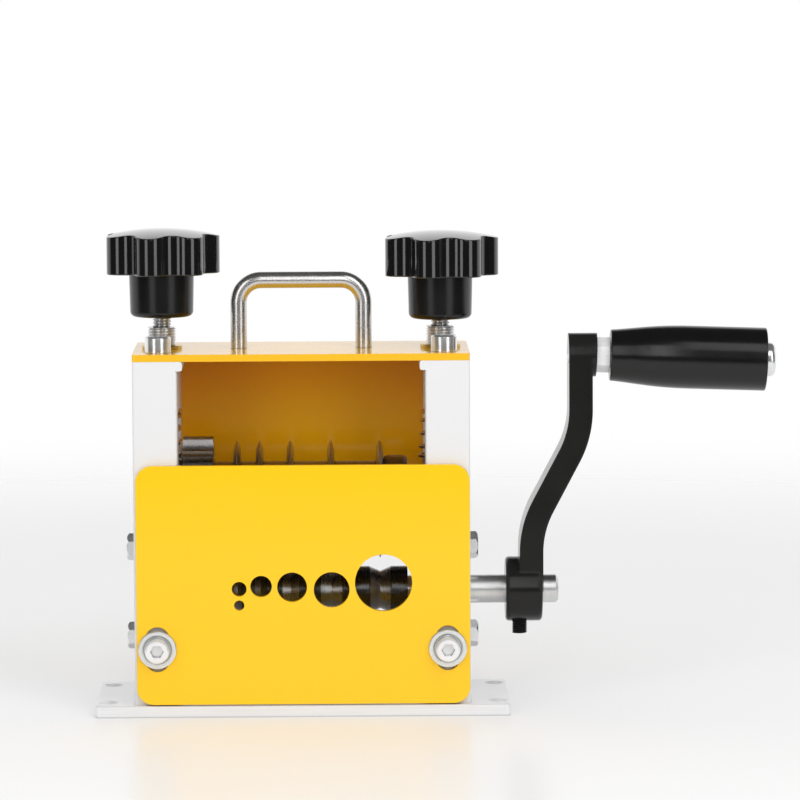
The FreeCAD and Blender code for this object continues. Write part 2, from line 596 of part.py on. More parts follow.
def side_bolts():
    """Hexagon bolts through each frame into the bearing flanges."""
    corner = M6_HEX_FLATS / math.sqrt(3)
    bolts = []
    for offset in (-SIDE_BOLT_OFFSET, SIDE_BOLT_OFFSET):
        z = CRANK_AXIS_Z + offset
        head = hexagon(M6_HEX_FLATS, V(-FRAME_OUTER_X, 0, z), X_AXIS * -1, M6_HEX_HEIGHT)
        crown_x = -FRAME_OUTER_X - M6_HEX_HEIGHT + M6_HEX_CROWN
        crown = Part.makeCone(corner, corner - M6_HEX_CROWN, M6_HEX_CROWN, V(crown_x, 0, z), X_AXIS * -1)
        head = head.common(crown.fuse(x_rod(2 * corner, crown_x, -FRAME_OUTER_X, z)))
        shank = x_rod(M6_DIAMETER, -FRAME_OUTER_X, -FRAME_INNER_X - JOURNAL_SETBACK, z)
        bolts.append(head.fuse(shank).removeSplitter())
    return joined(bolts + [mirrored(bolt) for bolt in bolts])


# ---------------------------------------------------------------- bearing blocks, springs and screws

def left_bearing_block():
    """Stepped block that slides in the window; a T-slot in its top holds the adjusting screw's foot."""
    inner = -FRAME_INNER_X + JOURNAL_SETBACK - SLIDING_GAP
    step = -WINDOW_STEP_X + SLIDING_GAP
    outer = -FRAME_OUTER_X + SLIDING_GAP
    bottom = BLADE_AXIS_Z - BLOCK_BELOW_AXIS
    half_in = WINDOW_WIDTH_INSIDE / 2 - SLIDING_GAP
    half_out = WINDOW_WIDTH_OUTSIDE / 2 - SLIDING_GAP
    body = block((step, inner), (-half_in, half_in), (bottom, BLOCK_TOP_Z))
    body = body.fuse(block((outer, step), (-half_out, half_out), (bottom, BLOCK_TOP_Z))).removeSplitter()
    body = body.cut(x_rod(BLADE_BUSH_DIAMETER, outer, inner, BLADE_AXIS_Z))
    neck = SCREW_DIAMETER + 2 * T_SLOT_GAP
    foot = SCREW_FOOT_DIAMETER + 2 * T_SLOT_GAP
    foot_bottom = BLOCK_TOP_Z - T_SLOT_LIP - SCREW_FOOT_THICKNESS - T_SLOT_GAP
    for width, low, high in ((neck, foot_bottom, BLOCK_TOP_Z), (foot, foot_bottom, BLOCK_TOP_Z - T_SLOT_LIP)):
        body = body.cut(rod(width, V(-KNOB_AXIS_X, 0, low), Z_AXIS, high - low))
        body = body.cut(block((-KNOB_AXIS_X, inner), (-width / 2, width / 2), (low, high)))
    return body


def left_blade_bush():
    outer = -FRAME_OUTER_X + SLIDING_GAP
    inner = -FRAME_INNER_X + JOURNAL_SETBACK - SLIDING_GAP
    bush = x_rod(BLADE_BUSH_DIAMETER, outer, inner, BLADE_AXIS_Z)
    return bush.cut(x_rod(SHAFT_DIAMETER + 2 * RUNNING_CLEARANCE, outer, inner, BLADE_AXIS_Z))


def left_spring():
    """Round-wire spring between the block and the window's top, cut flat at both ends."""
    height = WINDOW_TOP - BLOCK_TOP_Z
    radius = (SPRING_DIAMETER - SPRING_WIRE) / 2
    pitch = height / SPRING_TURNS
    coil = Part.makeHelix(pitch, height + 2 * pitch, radius)
    section = Part.Wire([Part.Circle(V(radius, 0, 0), Y_AXIS, SPRING_WIRE / 2).toShape()])
    wire = Part.Wire(coil.Edges).makePipeShell([section], True, True)
    wire.translate(V(-KNOB_AXIS_X, 0, BLOCK_TOP_Z - pitch))
    reach = SPRING_DIAMETER
    middle = V(-KNOB_AXIS_X, 0, 0)
    keep = block((middle.x - reach, middle.x + reach), (-reach, reach),
                 (BLOCK_TOP_Z, WINDOW_TOP))
    return wire.common(keep).Solids[0]


def adjusting_screw(side, knob_bottom):
    """Threaded rod from the knob down to the round foot in the block's T-slot."""
    x = side * KNOB_AXIS_X
    foot_bottom = BLOCK_TOP_Z - T_SLOT_LIP - SCREW_FOOT_THICKNESS - T_SLOT_GAP / 2
    foot = rod(SCREW_FOOT_DIAMETER, V(x, 0, foot_bottom), Z_AXIS, SCREW_FOOT_THICKNESS)
    top = knob_bottom + KNOB_SCREW_ENGAGEMENT
    diameter = SCREW_DIAMETER - 2 * RUNNING_CLEARANCE
    return foot.fuse(rod(diameter, V(x, 0, foot_bottom), Z_AXIS, top - foot_bottom)).removeSplitter()


def left_screw_bush():
    """Flanged nut bush in the top plate that the adjusting screw turns in."""
    x = -KNOB_AXIS_X
    tube = rod(BUSH_DIAMETER, V(x, 0, TOP_PLATE_TOP - BUSH_DEPTH), Z_AXIS, BUSH_DEPTH + BUSH_TOP_HEIGHT)
    flange = rod(BUSH_FLANGE_DIAMETER, V(x, 0, TOP_PLATE_TOP), Z_AXIS, BUSH_FLANGE_THICKNESS)
    bore = rod(SCREW_DIAMETER, V(x, 0, TOP_PLATE_TOP - BUSH_DEPTH), Z_AXIS, BUSH_DEPTH + BUSH_TOP_HEIGHT)
    return tube.fuse(flange).removeSplitter().cut(bore)


def star_outline(z):
    """Closed star wire: round lobes joined by round valleys that are tangent to them."""
    lobe_centre = KNOB_DIAMETER / 2 - KNOB_LOBE_RADIUS
    step = 2 * math.pi / KNOB_LOBES
    half = step / 2
    reach = KNOB_LOBE_RADIUS + KNOB_VALLEY_RADIUS
    # the valley circle's centre is on the bisector, at this distance from the knob's axis
    valley_centre = lobe_centre * math.cos(half) + math.sqrt(reach ** 2 - (lobe_centre * math.sin(half)) ** 2)
    edges = []
    for i in range(KNOB_LOBES):
        angle = i * step
        lobe = V(lobe_centre * math.cos(angle), lobe_centre * math.sin(angle), z)
        valleys = [V(valley_centre * math.cos(angle + s * half), valley_centre * math.sin(angle + s * half), z)
                   for s in (-1, 1)]
        touches = [lobe + (v - lobe) * (KNOB_LOBE_RADIUS / reach) for v in valleys]
        tip = lobe + V(math.cos(angle), math.sin(angle), 0) * KNOB_LOBE_RADIUS
        edges.append(Part.Arc(touches[0], tip, touches[1]).toShape())
        next_lobe = V(lobe_centre * math.cos(angle + step), lobe_centre * math.sin(angle + step), z)
        next_touch = next_lobe + (valleys[1] - next_lobe) * (KNOB_LOBE_RADIUS / reach)
        dip = valleys[1] - V(math.cos(angle + half), math.sin(angle + half), 0) * KNOB_VALLEY_RADIUS
        edges.append(Part.Arc(touches[1], dip, next_touch).toShape())
    return Part.Wire(edges)


def star_knob(side, bottom, angle):
    """Moulded knob: tapered hub and a star of round lobes under one wide dome; angle turns the star."""
    star_bottom = bottom + KNOB_HUB_HEIGHT
    rim = star_bottom + KNOB_LOBE_HEIGHT
    star = Part.Face(star_outline(star_bottom)).extrude(Z_AXIS * (KNOB_LOBE_HEIGHT + KNOB_DOME_HEIGHT))
    sphere_radius = ((KNOB_DIAMETER / 2) ** 2 + KNOB_DOME_HEIGHT ** 2) / (2 * KNOB_DOME_HEIGHT)
    ball = Part.makeSphere(sphere_radius, V(0, 0, rim + KNOB_DOME_HEIGHT - sphere_radius))
    star = star.common(ball)
    middle = (star_bottom + rim) / 2
    edges = [e for e in star.Edges if e.BoundBox.ZMax < middle or e.BoundBox.ZMin > middle]
    star = star.makeFillet(KNOB_EDGE_RADIUS, edges)
    hub = Part.makeCone(KNOB_HUB_BOTTOM_DIAMETER / 2, KNOB_HUB_TOP_DIAMETER / 2,
                        KNOB_HUB_HEIGHT + KNOB_LOBE_HEIGHT / 2, V(0, 0, bottom))
    foot = [e for e in hub.Edges if e.BoundBox.ZMax < bottom + KNOB_HUB_EDGE_RADIUS]
    hub = hub.makeFillet(KNOB_HUB_EDGE_RADIUS, foot)
    knob = star.fuse(hub).removeSplitter()
    knob = knob.cut(rod(SCREW_DIAMETER - 2 * RUNNING_CLEARANCE, V(0, 0, bottom), Z_AXIS, KNOB_SCREW_ENGAGEMENT))
    knob.rotate(V(0, 0, 0), Z_AXIS, math.degrees(angle))
    knob.translate(V(side * KNOB_AXIS_X, 0, 0))
    return knob


# ---------------------------------------------------------------- gears and keys

def polar_yz(radius, angle):
    """Point in the YZ plane, its angle measured from up."""
    return V(0, radius * math.sin(angle), radius * math.cos(angle))


def involute_point(base_radius, radius, start_angle, turn):
    """Point of an involute at a radius, its angle measured from up; turn is -1 or 1."""
    roll = math.sqrt(max((radius / base_radius) ** 2 - 1, 0))
    return polar_yz(radius, start_angle + turn * (roll - math.atan(roll)))


def gear_wire(teeth, mate_tip_radius, first_angle):
    """Spur gear outline in the YZ plane, undercut, with roots deep enough for the shafts' closest centres."""
    pitch_radius = GEAR_MODULE * teeth / 2
    base_radius = pitch_radius * math.cos(GEAR_PRESSURE_ANGLE)
    tip_radius = pitch_radius + GEAR_MODULE
    root_radius = GEAR_CENTRES - HEIGHT_TRAVEL - mate_tip_radius - GEAR_ROOT_CLEARANCE
    thickness = math.pi * GEAR_MODULE / 2 - GEAR_THINNING
    involute = math.tan(GEAR_PRESSURE_ANGLE) - GEAR_PRESSURE_ANGLE
    half_base = thickness / (2 * pitch_radius) + involute
    flank_radii = (base_radius, (base_radius + tip_radius) / 2, tip_radius)
    step = 2 * math.pi / teeth
    edges = []
    for i in range(teeth):
        centre = first_angle + i * step
        left = [involute_point(base_radius, r, centre - half_base, 1) for r in flank_radii]
        right = [involute_point(base_radius, r, centre + half_base, -1) for r in flank_radii]
        half_root = half_base * GEAR_UNDERCUT
        root_left = polar_yz(root_radius, centre - half_root)
        root_right = polar_yz(root_radius, centre + half_root)
        next_root = polar_yz(root_radius, centre + step - half_root)
        tip = polar_yz(tip_radius, centre)
        gap = polar_yz(root_radius, centre + step / 2)
        edges += [
            Part.LineSegment(root_left, left[0]).toShape(),
            Part.Arc(*left).toShape(),
            Part.Arc(left[2], tip, right[2]).toShape(),
            Part.Arc(right[2], right[1], right[0]).toShape(),
            Part.LineSegment(right[0], root_right).toShape(),
            Part.Arc(root_right, gap, next_root).toShape(),
        ]
    return Part.Wire(edges)


def spur_gear(teeth, mate_teeth, axis_z, first_angle):
    """Gear blank with recessed faces, bored and slotted for its key."""
    mate_tip = GEAR_MODULE * (mate_teeth / 2 + 1)
    gear = Part.Face(gear_wire(teeth, mate_tip, first_angle)).extrude(X_AXIS * GEAR_FACE)
    gear.translate(V(GEAR_LEFT_X, 0, axis_z))
    gear = gear.cut(x_rod(SHAFT_DIAMETER, GEAR_LEFT_X, GEAR_RIGHT_X, axis_z))
    return gear.cut(key_shape(axis_z, GEAR_LEFT_X, GEAR_RIGHT_X))


def key_shape(axis_z, x_from, x_to):
    """Square key, half in the shaft and half in the gear, at the bottom of the shaft."""
    top = axis_z - SHAFT_RADIUS + KEY_HEIGHT / 2
    return block((x_from, x_to), (-KEY_WIDTH / 2, KEY_WIDTH / 2), (top - KEY_HEIGHT, top))


def gear_key(axis_z):
    middle = (GEAR_LEFT_X + GEAR_RIGHT_X) / 2
    return key_shape(axis_z, middle - KEY_LENGTH / 2, middle + KEY_LENGTH / 2)


def chamfered_x_rod(diameter, x_from, x_to, z, chamfer):
    """Round bar along X with both ends chamfered."""
    bar = x_rod(diameter, x_from, x_to, z)
    rims = [e for e in bar.Edges if e.Curve.TypeId == "Part::GeomCircle"]
    return bar.makeChamfer(chamfer, rims)


# ---------------------------------------------------------------- blade shaft and what it carries

def blade_shaft():
    """Upper shaft: two journals, a shoulder for the gear and a keyway."""
    end = FRAME_OUTER_X - JOURNAL_SETBACK
    shaft = chamfered_x_rod(SHAFT_DIAMETER, -end, end, BLADE_AXIS_Z, SHAFT_CHAMFER)
    shoulder = x_rod(SHOULDER_DIAMETER, -FRAME_INNER_X + JOURNAL_SETBACK, GEAR_LEFT_X, BLADE_AXIS_Z)
    return shaft.fuse(shoulder).removeSplitter().cut(gear_key(BLADE_AXIS_Z))


def blade(x_middle):
    """Round blade: flat body with a long curved bevel to a thin edge on both sides."""
    radius = BLADE_DIAMETER / 2
    inner = radius - BLADE_BEVEL_DEPTH
    half = BLADE_THICKNESS / 2
    edge = BLADE_EDGE_WIDTH / 2
    bulge = ((half + edge) / 2 + BLADE_BULGE, (inner + radius) / 2)

    def at(across, out):
        return V(x_middle + across, 0, BLADE_AXIS_Z + out)

    profile = [
        Part.LineSegment(at(-half, SHAFT_RADIUS), at(-half, inner)).toShape(),
        Part.Arc(at(-half, inner), at(-bulge[0], bulge[1]), at(-edge, radius)).toShape(),
        Part.LineSegment(at(-edge, radius), at(edge, radius)).toShape(),
        Part.Arc(at(edge, radius), at(bulge[0], bulge[1]), at(half, inner)).toShape(),
        Part.LineSegment(at(half, inner), at(half, SHAFT_RADIUS)).toShape(),
        Part.LineSegment(at(half, SHAFT_RADIUS), at(-half, SHAFT_RADIUS)).toShape(),
    ]
    return turned(profile, V(0, 0, BLADE_AXIS_Z), X_AXIS)


def sleeve(x_from, x_to, diameter):
    """Plain spacer tube on the blade shaft."""
    tube = chamfered_x_rod(diameter, x_from, x_to, BLADE_AXIS_Z, SLEEVE_CHAMFER)
    return tube.cut(x_rod(SHAFT_DIAMETER, x_from, x_to, BLADE_AXIS_Z))


def blade_sleeves():
    """Spacers from the gear to the last blade, each filling the room between its neighbours."""
    half = BLADE_THICKNESS / 2
    starts = [GEAR_RIGHT_X] + [x + half for x in BLADE_X[:-1]]
    ends = [x - half for x in BLADE_X]
    return [sleeve(a, b, SLEEVE_DIAMETER) for a, b in zip(starts, ends)]


def blade_lock_nut():
    """Round nut that clamps the stack, with soft edges and two spanner flats."""
    nut = x_rod(LOCK_NUT_DIAMETER, LOCK_NUT_LEFT_X, LOCK_NUT_RIGHT_X, BLADE_AXIS_Z)
    rims = [e for e in nut.Edges if e.Curve.TypeId == "Part::GeomCircle"]
    nut = nut.makeFillet(LOCK_NUT_EDGE_RADIUS, rims)
    width = LOCK_NUT_DIAMETER
    for side in (-1, 1):
        low = LOCK_NUT_FLAT / 2 if side > 0 else -LOCK_NUT_FLAT / 2 - width
        middle = (LOCK_NUT_LEFT_X + LOCK_NUT_RIGHT_X) / 2
        nut = nut.cut(block((middle, LOCK_NUT_RIGHT_X), (low, low + width),
                            (BLADE_AXIS_Z - width, BLADE_AXIS_Z + width)))
    return nut.cut(x_rod(SHAFT_DIAMETER, LOCK_NUT_LEFT_X, LOCK_NUT_RIGHT_X, BLADE_AXIS_Z))


def blade_shaft_spacer():
    return sleeve(LOCK_NUT_RIGHT_X + SLIDING_GAP, FRAME_INNER_X - JOURNAL_SETBACK, SPACER_DIAMETER)


# ---------------------------------------------------------------- crank shaft and what it carries

def crank_shaft():
    """Lower shaft: through both bearings and out on the right for the crank."""
    left = -FRAME_OUTER_X + JOURNAL_SETBACK
    shaft = chamfered_x_rod(SHAFT_DIAMETER, left, CRANK_SHAFT_END_X, CRANK_AXIS_Z, SHAFT_CHAMFER)
    shoulder = x_rod(SHOULDER_DIAMETER, -FRAME_INNER_X + SLIDING_GAP, GEAR_LEFT_X, CRANK_AXIS_Z)
    shaft = shaft.fuse(shoulder).removeSplitter().cut(gear_key(CRANK_AXIS_Z))
    return shaft.cut(roller_pin())


def feed_roller():
    """Long roller with a V groove under each blade, pinned to the shaft."""
    radius = ROLLER_DIAMETER / 2
    points = [(GEAR_RIGHT_X, SHAFT_RADIUS), (GEAR_RIGHT_X, radius)]
    for middle, (width, depth) in zip(BLADE_X, ROLLER_GROOVES):
        points += [(middle - width / 2, radius), (middle, radius - depth), (middle + width / 2, radius)]
    points += [(ROLLER_RIGHT_X, radius), (ROLLER_RIGHT_X, SHAFT_RADIUS)]
    corners = [V(x, 0, CRANK_AXIS_Z + r) for x, r in points]
    return turned(polygon_edges(corners), V(0, 0, CRANK_AXIS_Z), X_AXIS).cut(roller_pin())


def roller_pin():
    """Cross pin through the roller and the shaft, flush with the roller."""
    length = ROLLER_DIAMETER - 2 * SLIDING_GAP
    return rod(ROLLER_PIN_DIAMETER, V(ROLLER_PIN_X, -length / 2, CRANK_AXIS_Z), Y_AXIS, length)


def crank_shaft_collar():
    """Collar that keeps the shaft from sliding out, next to the right bearing."""
    right = FRAME_INNER_X - SLIDING_GAP
    collar = chamfered_x_rod(COLLAR_DIAMETER, right - COLLAR_WIDTH, right, CRANK_AXIS_Z, SLEEVE_CHAMFER)
    return collar.cut(x_rod(SHAFT_DIAMETER, right - COLLAR_WIDTH, right, CRANK_AXIS_Z))


# ---------------------------------------------------------------- crank arm and handle

def arm_side_face(y):
    """The arm seen along Y: a bar of even thickness with two opposite bends."""
    half = ARM_THICKNESS / 2
    bend = ARM_BEND_RADIUS
    angle = ARM_BEND_ANGLE
    rise = ARM_UPPER_X - ARM_LOWER_X
    slant = (rise - 2 * bend * (1 - math.cos(angle))) / math.sin(angle)
    start = (ARM_LOWER_X, CRANK_AXIS_Z + ARM_BEND_START)
    along = (math.sin(angle), math.cos(angle))
    across = (math.cos(angle), -math.sin(angle))
    first_centre = (start[0] + bend, start[1])
    first_end = (first_centre[0] - bend * math.cos(angle), first_centre[1] + bend * math.sin(angle))
    second_start = (first_end[0] + slant * along[0], first_end[1] + slant * along[1])
    second_centre = (second_start[0] - bend * across[0], second_start[1] - bend * across[1])
    second_end = (second_centre[0] + bend, second_centre[1])

    def side_edges(offset):
        """One edge line of the bar, offset to the right of its middle line."""
        low = V(start[0] + offset, y, CRANK_AXIS_Z)
        bend_start = V(start[0] + offset, y, start[1])
        r1 = bend - offset
        bend_mid = V(first_centre[0] - r1 * math.cos(angle / 2), y, first_centre[1] + r1 * math.sin(angle / 2))
        bend_end = V(first_centre[0] - r1 * math.cos(angle), y, first_centre[1] + r1 * math.sin(angle))
        r2 = bend + offset
        top_start = V(second_centre[0] + r2 * math.cos(angle), y, second_centre[1] - r2 * math.sin(angle))
        top_mid = V(second_centre[0] + r2 * math.cos(angle / 2), y, second_centre[1] - r2 * math.sin(angle / 2))
        top_end = V(second_end[0] + offset, y, second_end[1])
        high = V(second_end[0] + offset, y, HANDLE_AXIS_Z + BOSS_DIAMETER / 2)
        edges = [
            Part.LineSegment(low, bend_start).toShape(),
            Part.Arc(bend_start, bend_mid, bend_end).toShape(),
            Part.LineSegment(bend_end, top_start).toShape(),
            Part.Arc(top_start, top_mid, top_end).toShape(),
            Part.LineSegment(top_end, high).toShape(),
        ]
        return edges, low, high

    left, left_low, left_high = side_edges(-half)
    right, right_low, right_high = side_edges(half)
    caps = [Part.LineSegment(left_high, right_high).toShape(), Part.LineSegment(right_low, left_low).toShape()]
    wire = Part.Wire(Part.__sortEdges__(left + caps[:1] + right + caps[1:]))
    return Part.Face(wire)


def arm_front_face(x):
    """The arm seen along X: it tapers from the hub to the round end at the handle."""
    half_low = ARM_WIDTH_AT_HUB / 2
    half_high = BOSS_DIAMETER / 2
    left_low = V(x, -half_low, CRANK_AXIS_Z)
    right_low = V(x, half_low, CRANK_AXIS_Z)
    left_high = V(x, -half_high, HANDLE_AXIS_Z)
    right_high = V(x, half_high, HANDLE_AXIS_Z)
    crown = V(x, 0, HANDLE_AXIS_Z + half_high)
    edges = [
        Part.LineSegment(left_low, left_high).toShape(),
        Part.Arc(left_high, crown, right_high).toShape(),
        Part.LineSegment(right_high, right_low).toShape(),
        Part.LineSegment(right_low, left_low).toShape(),
    ]
    return Part.Face(Part.Wire(edges))


def leaned(shape):
    """Turn a piece built along the handle's straight axis so that it leans with the bolt."""
    shape.rotate(V(BOSS_RIGHT_X, 0, HANDLE_AXIS_Z), Y_AXIS, math.degrees(HANDLE_LEAN))
    return shape


def handle_bar(diameter, start, length):
    """Round bar on the handle's axis, start measured from the boss's outer face."""
    return leaned(x_rod(diameter, BOSS_RIGHT_X + start, BOSS_RIGHT_X + start + length, HANDLE_AXIS_Z))


def crank_arm():
    """Cast crank: round hub, double-bent tapering arm and a round boss for the handle bolt."""
    half = ARM_WIDTH_AT_HUB / 2
    arm = arm_side_face(-half).extrude(Y_AXIS * ARM_WIDTH_AT_HUB)
    wide = arm_front_face(CRANK_HUB_LEFT_X).extrude(X_AXIS * (BOSS_RIGHT_X + ARM_THICKNESS - CRANK_HUB_LEFT_X))
    arm = arm.common(wide)
    hub = x_rod(CRANK_HUB_DIAMETER, CRANK_HUB_LEFT_X, CRANK_HUB_RIGHT_X, CRANK_AXIS_Z)
    hub = hub.makeFillet(CRANK_HUB_EDGE_RADIUS, [e for e in hub.Edges if e.Curve.TypeId == "Part::GeomCircle"])
    boss = x_rod(BOSS_DIAMETER, ARM_UPPER_X, BOSS_RIGHT_X + BOSS_STANDOUT, HANDLE_AXIS_Z)
    trim = leaned(block((BOSS_RIGHT_X, BOSS_RIGHT_X + 2 * BOSS_STANDOUT), (-BOSS_DIAMETER, BOSS_DIAMETER),
                        (HANDLE_AXIS_Z - BOSS_DIAMETER, HANDLE_AXIS_Z + BOSS_DIAMETER)))
    crank = arm.fuse([hub, boss.cut(trim)]).removeSplitter()
    bore = x_rod(SHAFT_DIAMETER, CRANK_HUB_LEFT_X, CRANK_HUB_RIGHT_X + ARM_THICKNESS, CRANK_AXIS_Z)
    crank = crank.cut(bore).cut(handle_bar(HANDLE_BOLT_DIAMETER, -bolt_depth(), 2 * bolt_depth()))
    return crank.cut(set_screw_rod(0))


def bolt_depth():
    """How deep the handle bolt is screwed into the crank."""
    return BOSS_RIGHT_X - ARM_UPPER_X + ARM_THICKNESS / 2


def set_screw_rod(standout):
    """The set screw's round body, from the shaft out to a little past the hub."""
    length = CRANK_HUB_DIAMETER / 2 - SHAFT_RADIUS + standout
    return rod(SET_SCREW_DIAMETER, V(SET_SCREW_X, 0, CRANK_AXIS_Z - SHAFT_RADIUS), Z_AXIS * -1, length)


def crank_set_screw():
    """Socket set screw under the hub; its tip is rounded to the shaft it presses on."""
    screw = set_screw_rod(SET_SCREW_STANDOUT)
    tip = CRANK_AXIS_Z - CRANK_HUB_DIAMETER / 2 - SET_SCREW_STANDOUT
    return screw.cut(hexagon(SET_SCREW_SOCKET_FLATS, V(SET_SCREW_X, 0, tip), Z_AXIS, SOCKET_DEPTH))


def handle_bolt():
    """Bolt that the grip turns on, with a low round head at its free end."""
    grip_end = HANDLE_NUT_THICKNESS + GRIP_LENGTH + 2 * GRIP_GAP
    head_x = BOSS_RIGHT_X + grip_end
    head = x_rod(HANDLE_HEAD_DIAMETER, head_x, head_x + HANDLE_HEAD_THICKNESS, HANDLE_AXIS_Z)
    rims = [e for e in head.Edges if e.Curve.TypeId == "Part::GeomCircle"
            and e.Curve.Center.x > head_x + HANDLE_HEAD_THICKNESS / 2]
    head = leaned(head.makeFillet(HANDLE_HEAD_EDGE_RADIUS, rims))
    shank = handle_bar(HANDLE_BOLT_DIAMETER, -bolt_depth(), bolt_depth() + grip_end)
    return shank.fuse(head).removeSplitter()


def handle_jam_nut():
    nut = hexagon(HANDLE_NUT_ACROSS_FLATS, V(BOSS_RIGHT_X, 0, HANDLE_AXIS_Z), X_AXIS, HANDLE_NUT_THICKNESS)
    return leaned(nut).cut(handle_bar(HANDLE_BOLT_DIAMETER, 0, HANDLE_NUT_THICKNESS))


def handle_grip():
    """Turned grip: slim at the crank, swelling to an even barrel, with soft ends and a plain bore."""
    start = BOSS_RIGHT_X + HANDLE_NUT_THICKNESS + GRIP_GAP
    end = start + GRIP_LENGTH
    bore = HANDLE_BOLT_DIAMETER / 2 + GRIP_BORE_CLEARANCE
    small = GRIP_SMALL_DIAMETER / 2
    large = GRIP_LARGE_DIAMETER / 2
    edge = GRIP_EDGE_RADIUS
    soft = edge * (1 - math.sqrt(0.5))

    def at(x, radius):
        return V(x, 0, HANDLE_AXIS_Z + radius)

    swell_middle = at(start + GRIP_SWELL_LENGTH / 2, (small + large) / 2 + GRIP_SWELL_BULGE)
    swell = Part.BSplineCurve()
    swell.interpolate([at(start + edge, small), swell_middle, at(start + GRIP_SWELL_LENGTH, large)],
                      InitialTangent=V(1, 0, GRIP_START_SLOPE), FinalTangent=X_AXIS)
    profile = [
        Part.LineSegment(at(start, bore), at(start, small - edge)).toShape(),
        Part.Arc(at(start, small - edge), at(start + soft, small - soft), at(start + edge, small)).toShape(),
        swell.toShape(),
        Part.LineSegment(at(start + GRIP_SWELL_LENGTH, large), at(end - edge, large)).toShape(),
        Part.Arc(at(end - edge, large), at(end - soft, large - soft), at(end, large - edge)).toShape(),
        Part.LineSegment(at(end, large - edge), at(end, bore)).toShape(),
        Part.LineSegment(at(end, bore), at(start, bore)).toShape(),
    ]
    return leaned(turned(profile, V(0, 0, HANDLE_AXIS_Z), X_AXIS))


# ---------------------------------------------------------------- all pieces, written out

def all_pieces():
    pieces = {
        "base_plate": base_plate(),
        "base_screws": base_screws(),
        "left_side_frame": left_side_frame(),
        "top_plate": top_plate(),
        "top_plate_screws": top_plate_screws(),
        "back_plate": back_plate(),
        "back_plate_screws": back_plate_screws(),
        "carry_handle": carry_handle(),
        "carry_handle_nuts": carry_handle_nuts(),
        "left_lower_bearing": left_lower_bearing(),
        "left_screw_bush": left_screw_bush(),
        "side_bolts": side_bolts(),
        "front_plate": front_plate(),
        "front_plate_screws": front_plate_screws(),
        "front_plate_washers": front_plate_washers(),
        "left_bearing_block": left_bearing_block(),
        "left_blade_bush": left_blade_bush(),
        "left_spring": left_spring(),
        "left_adjusting_screw": adjusting_screw(-1, LEFT_KNOB_BOTTOM_Z),
        "right_adjusting_screw": adjusting_screw(1, RIGHT_KNOB_BOTTOM_Z),
        "left_knob": star_knob(-1, LEFT_KNOB_BOTTOM_Z, LEFT_KNOB_ANGLE),
        "right_knob": star_knob(1, RIGHT_KNOB_BOTTOM_Z, RIGHT_KNOB_ANGLE),
        "blade_shaft": blade_shaft(),
        "upper_gear": spur_gear(UPPER_TEETH, LOWER_TEETH, BLADE_AXIS_Z, math.pi / UPPER_TEETH),
        "upper_gear_key": gear_key(BLADE_AXIS_Z),
        "blade_lock_nut": blade_lock_nut(),
        "blade_shaft_spacer": blade_shaft_spacer(),
        "crank_shaft": crank_shaft(),
        "lower_gear": spur_gear(LOWER_TEETH, UPPER_TEETH, CRANK_AXIS_Z, 0.0),
        "lower_gear_key": gear_key(CRANK_AXIS_Z),
        "feed_roller": feed_roller(),
        "feed_roller_pin": roller_pin(),
        "crank_shaft_collar": crank_shaft_collar(),
        "crank_arm": crank_arm(),
        "crank_set_screw": crank_set_screw(),
        "handle_bolt": handle_bolt(),
        "handle_jam_nut": handle_jam_nut(),
        "handle_grip": handle_grip(),
    }
    for name in ("side_frame", "lower_bearing", "screw_bush", "bearing_block", "blade_bush", "spring"):
        pieces["right_" + name] = mirrored(pieces["left_" + name])
    for number, x in enumerate(BLADE_X, 1):
        pieces["blade_%d" % number] = blade(x)
    for number, spacer in enumerate(blade_sleeves(), 1):
        pieces["blade_sleeve_%d" % number] = spacer
    return pieces


def main():
    os.makedirs("parts", exist_ok=True)
    for name, shape in all_pieces().items():
        shape.exportStep("parts/%s.step" % name)


main()
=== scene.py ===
"""Finishes and fine pieces of a hand crank wire stripper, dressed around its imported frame.

Metres, in the frame's own axes: +X runs along the shafts to the crank, +Y to the back and +Z up.
"""

import math

import bpy
from mathutils import Matrix, Vector


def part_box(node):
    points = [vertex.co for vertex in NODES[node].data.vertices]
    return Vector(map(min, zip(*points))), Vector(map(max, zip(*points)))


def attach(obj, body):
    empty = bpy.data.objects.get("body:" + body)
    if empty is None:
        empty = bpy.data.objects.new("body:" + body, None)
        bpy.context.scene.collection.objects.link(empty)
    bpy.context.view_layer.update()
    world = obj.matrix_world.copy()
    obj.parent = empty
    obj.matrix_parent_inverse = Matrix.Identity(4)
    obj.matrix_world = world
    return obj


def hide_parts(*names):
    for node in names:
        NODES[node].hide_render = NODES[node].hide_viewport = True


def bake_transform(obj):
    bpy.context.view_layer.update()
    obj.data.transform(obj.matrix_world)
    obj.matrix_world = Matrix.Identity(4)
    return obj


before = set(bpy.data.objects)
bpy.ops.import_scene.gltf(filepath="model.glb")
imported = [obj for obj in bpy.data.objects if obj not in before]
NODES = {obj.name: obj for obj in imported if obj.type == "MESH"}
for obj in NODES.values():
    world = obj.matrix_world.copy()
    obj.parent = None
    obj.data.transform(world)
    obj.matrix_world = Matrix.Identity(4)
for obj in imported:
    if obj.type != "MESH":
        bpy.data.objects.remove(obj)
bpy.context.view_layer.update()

bl_info = {
    "name": "Hand crank wire stripper",
    "version": (1, 0, 0),
    "blender": (4, 5, 0),
    "location": "3D View > Sidebar > Wire stripper",
    "description": "Paints the stripper's plates and frames and adds its springs and threads",
    "category": "Object",
}

MM = 0.001

# ---- sizes
KNOB_POLISH_HEIGHT = 18.3 * MM      # just below a knob's star, which is polished all over
ROLLER_GROOVE_RADIUS = 9.85 * MM    # the feed roller, painted near-black as shade, is lighter inside this radius
SCREW_FOOT_HEIGHT = 2.3 * MM        # the foot that ends a knob screw
RIM_BEVEL = 0.3 * MM                # on the rims of bushes and feet
THREAD_DEPTH = 0.5                  # in pitches
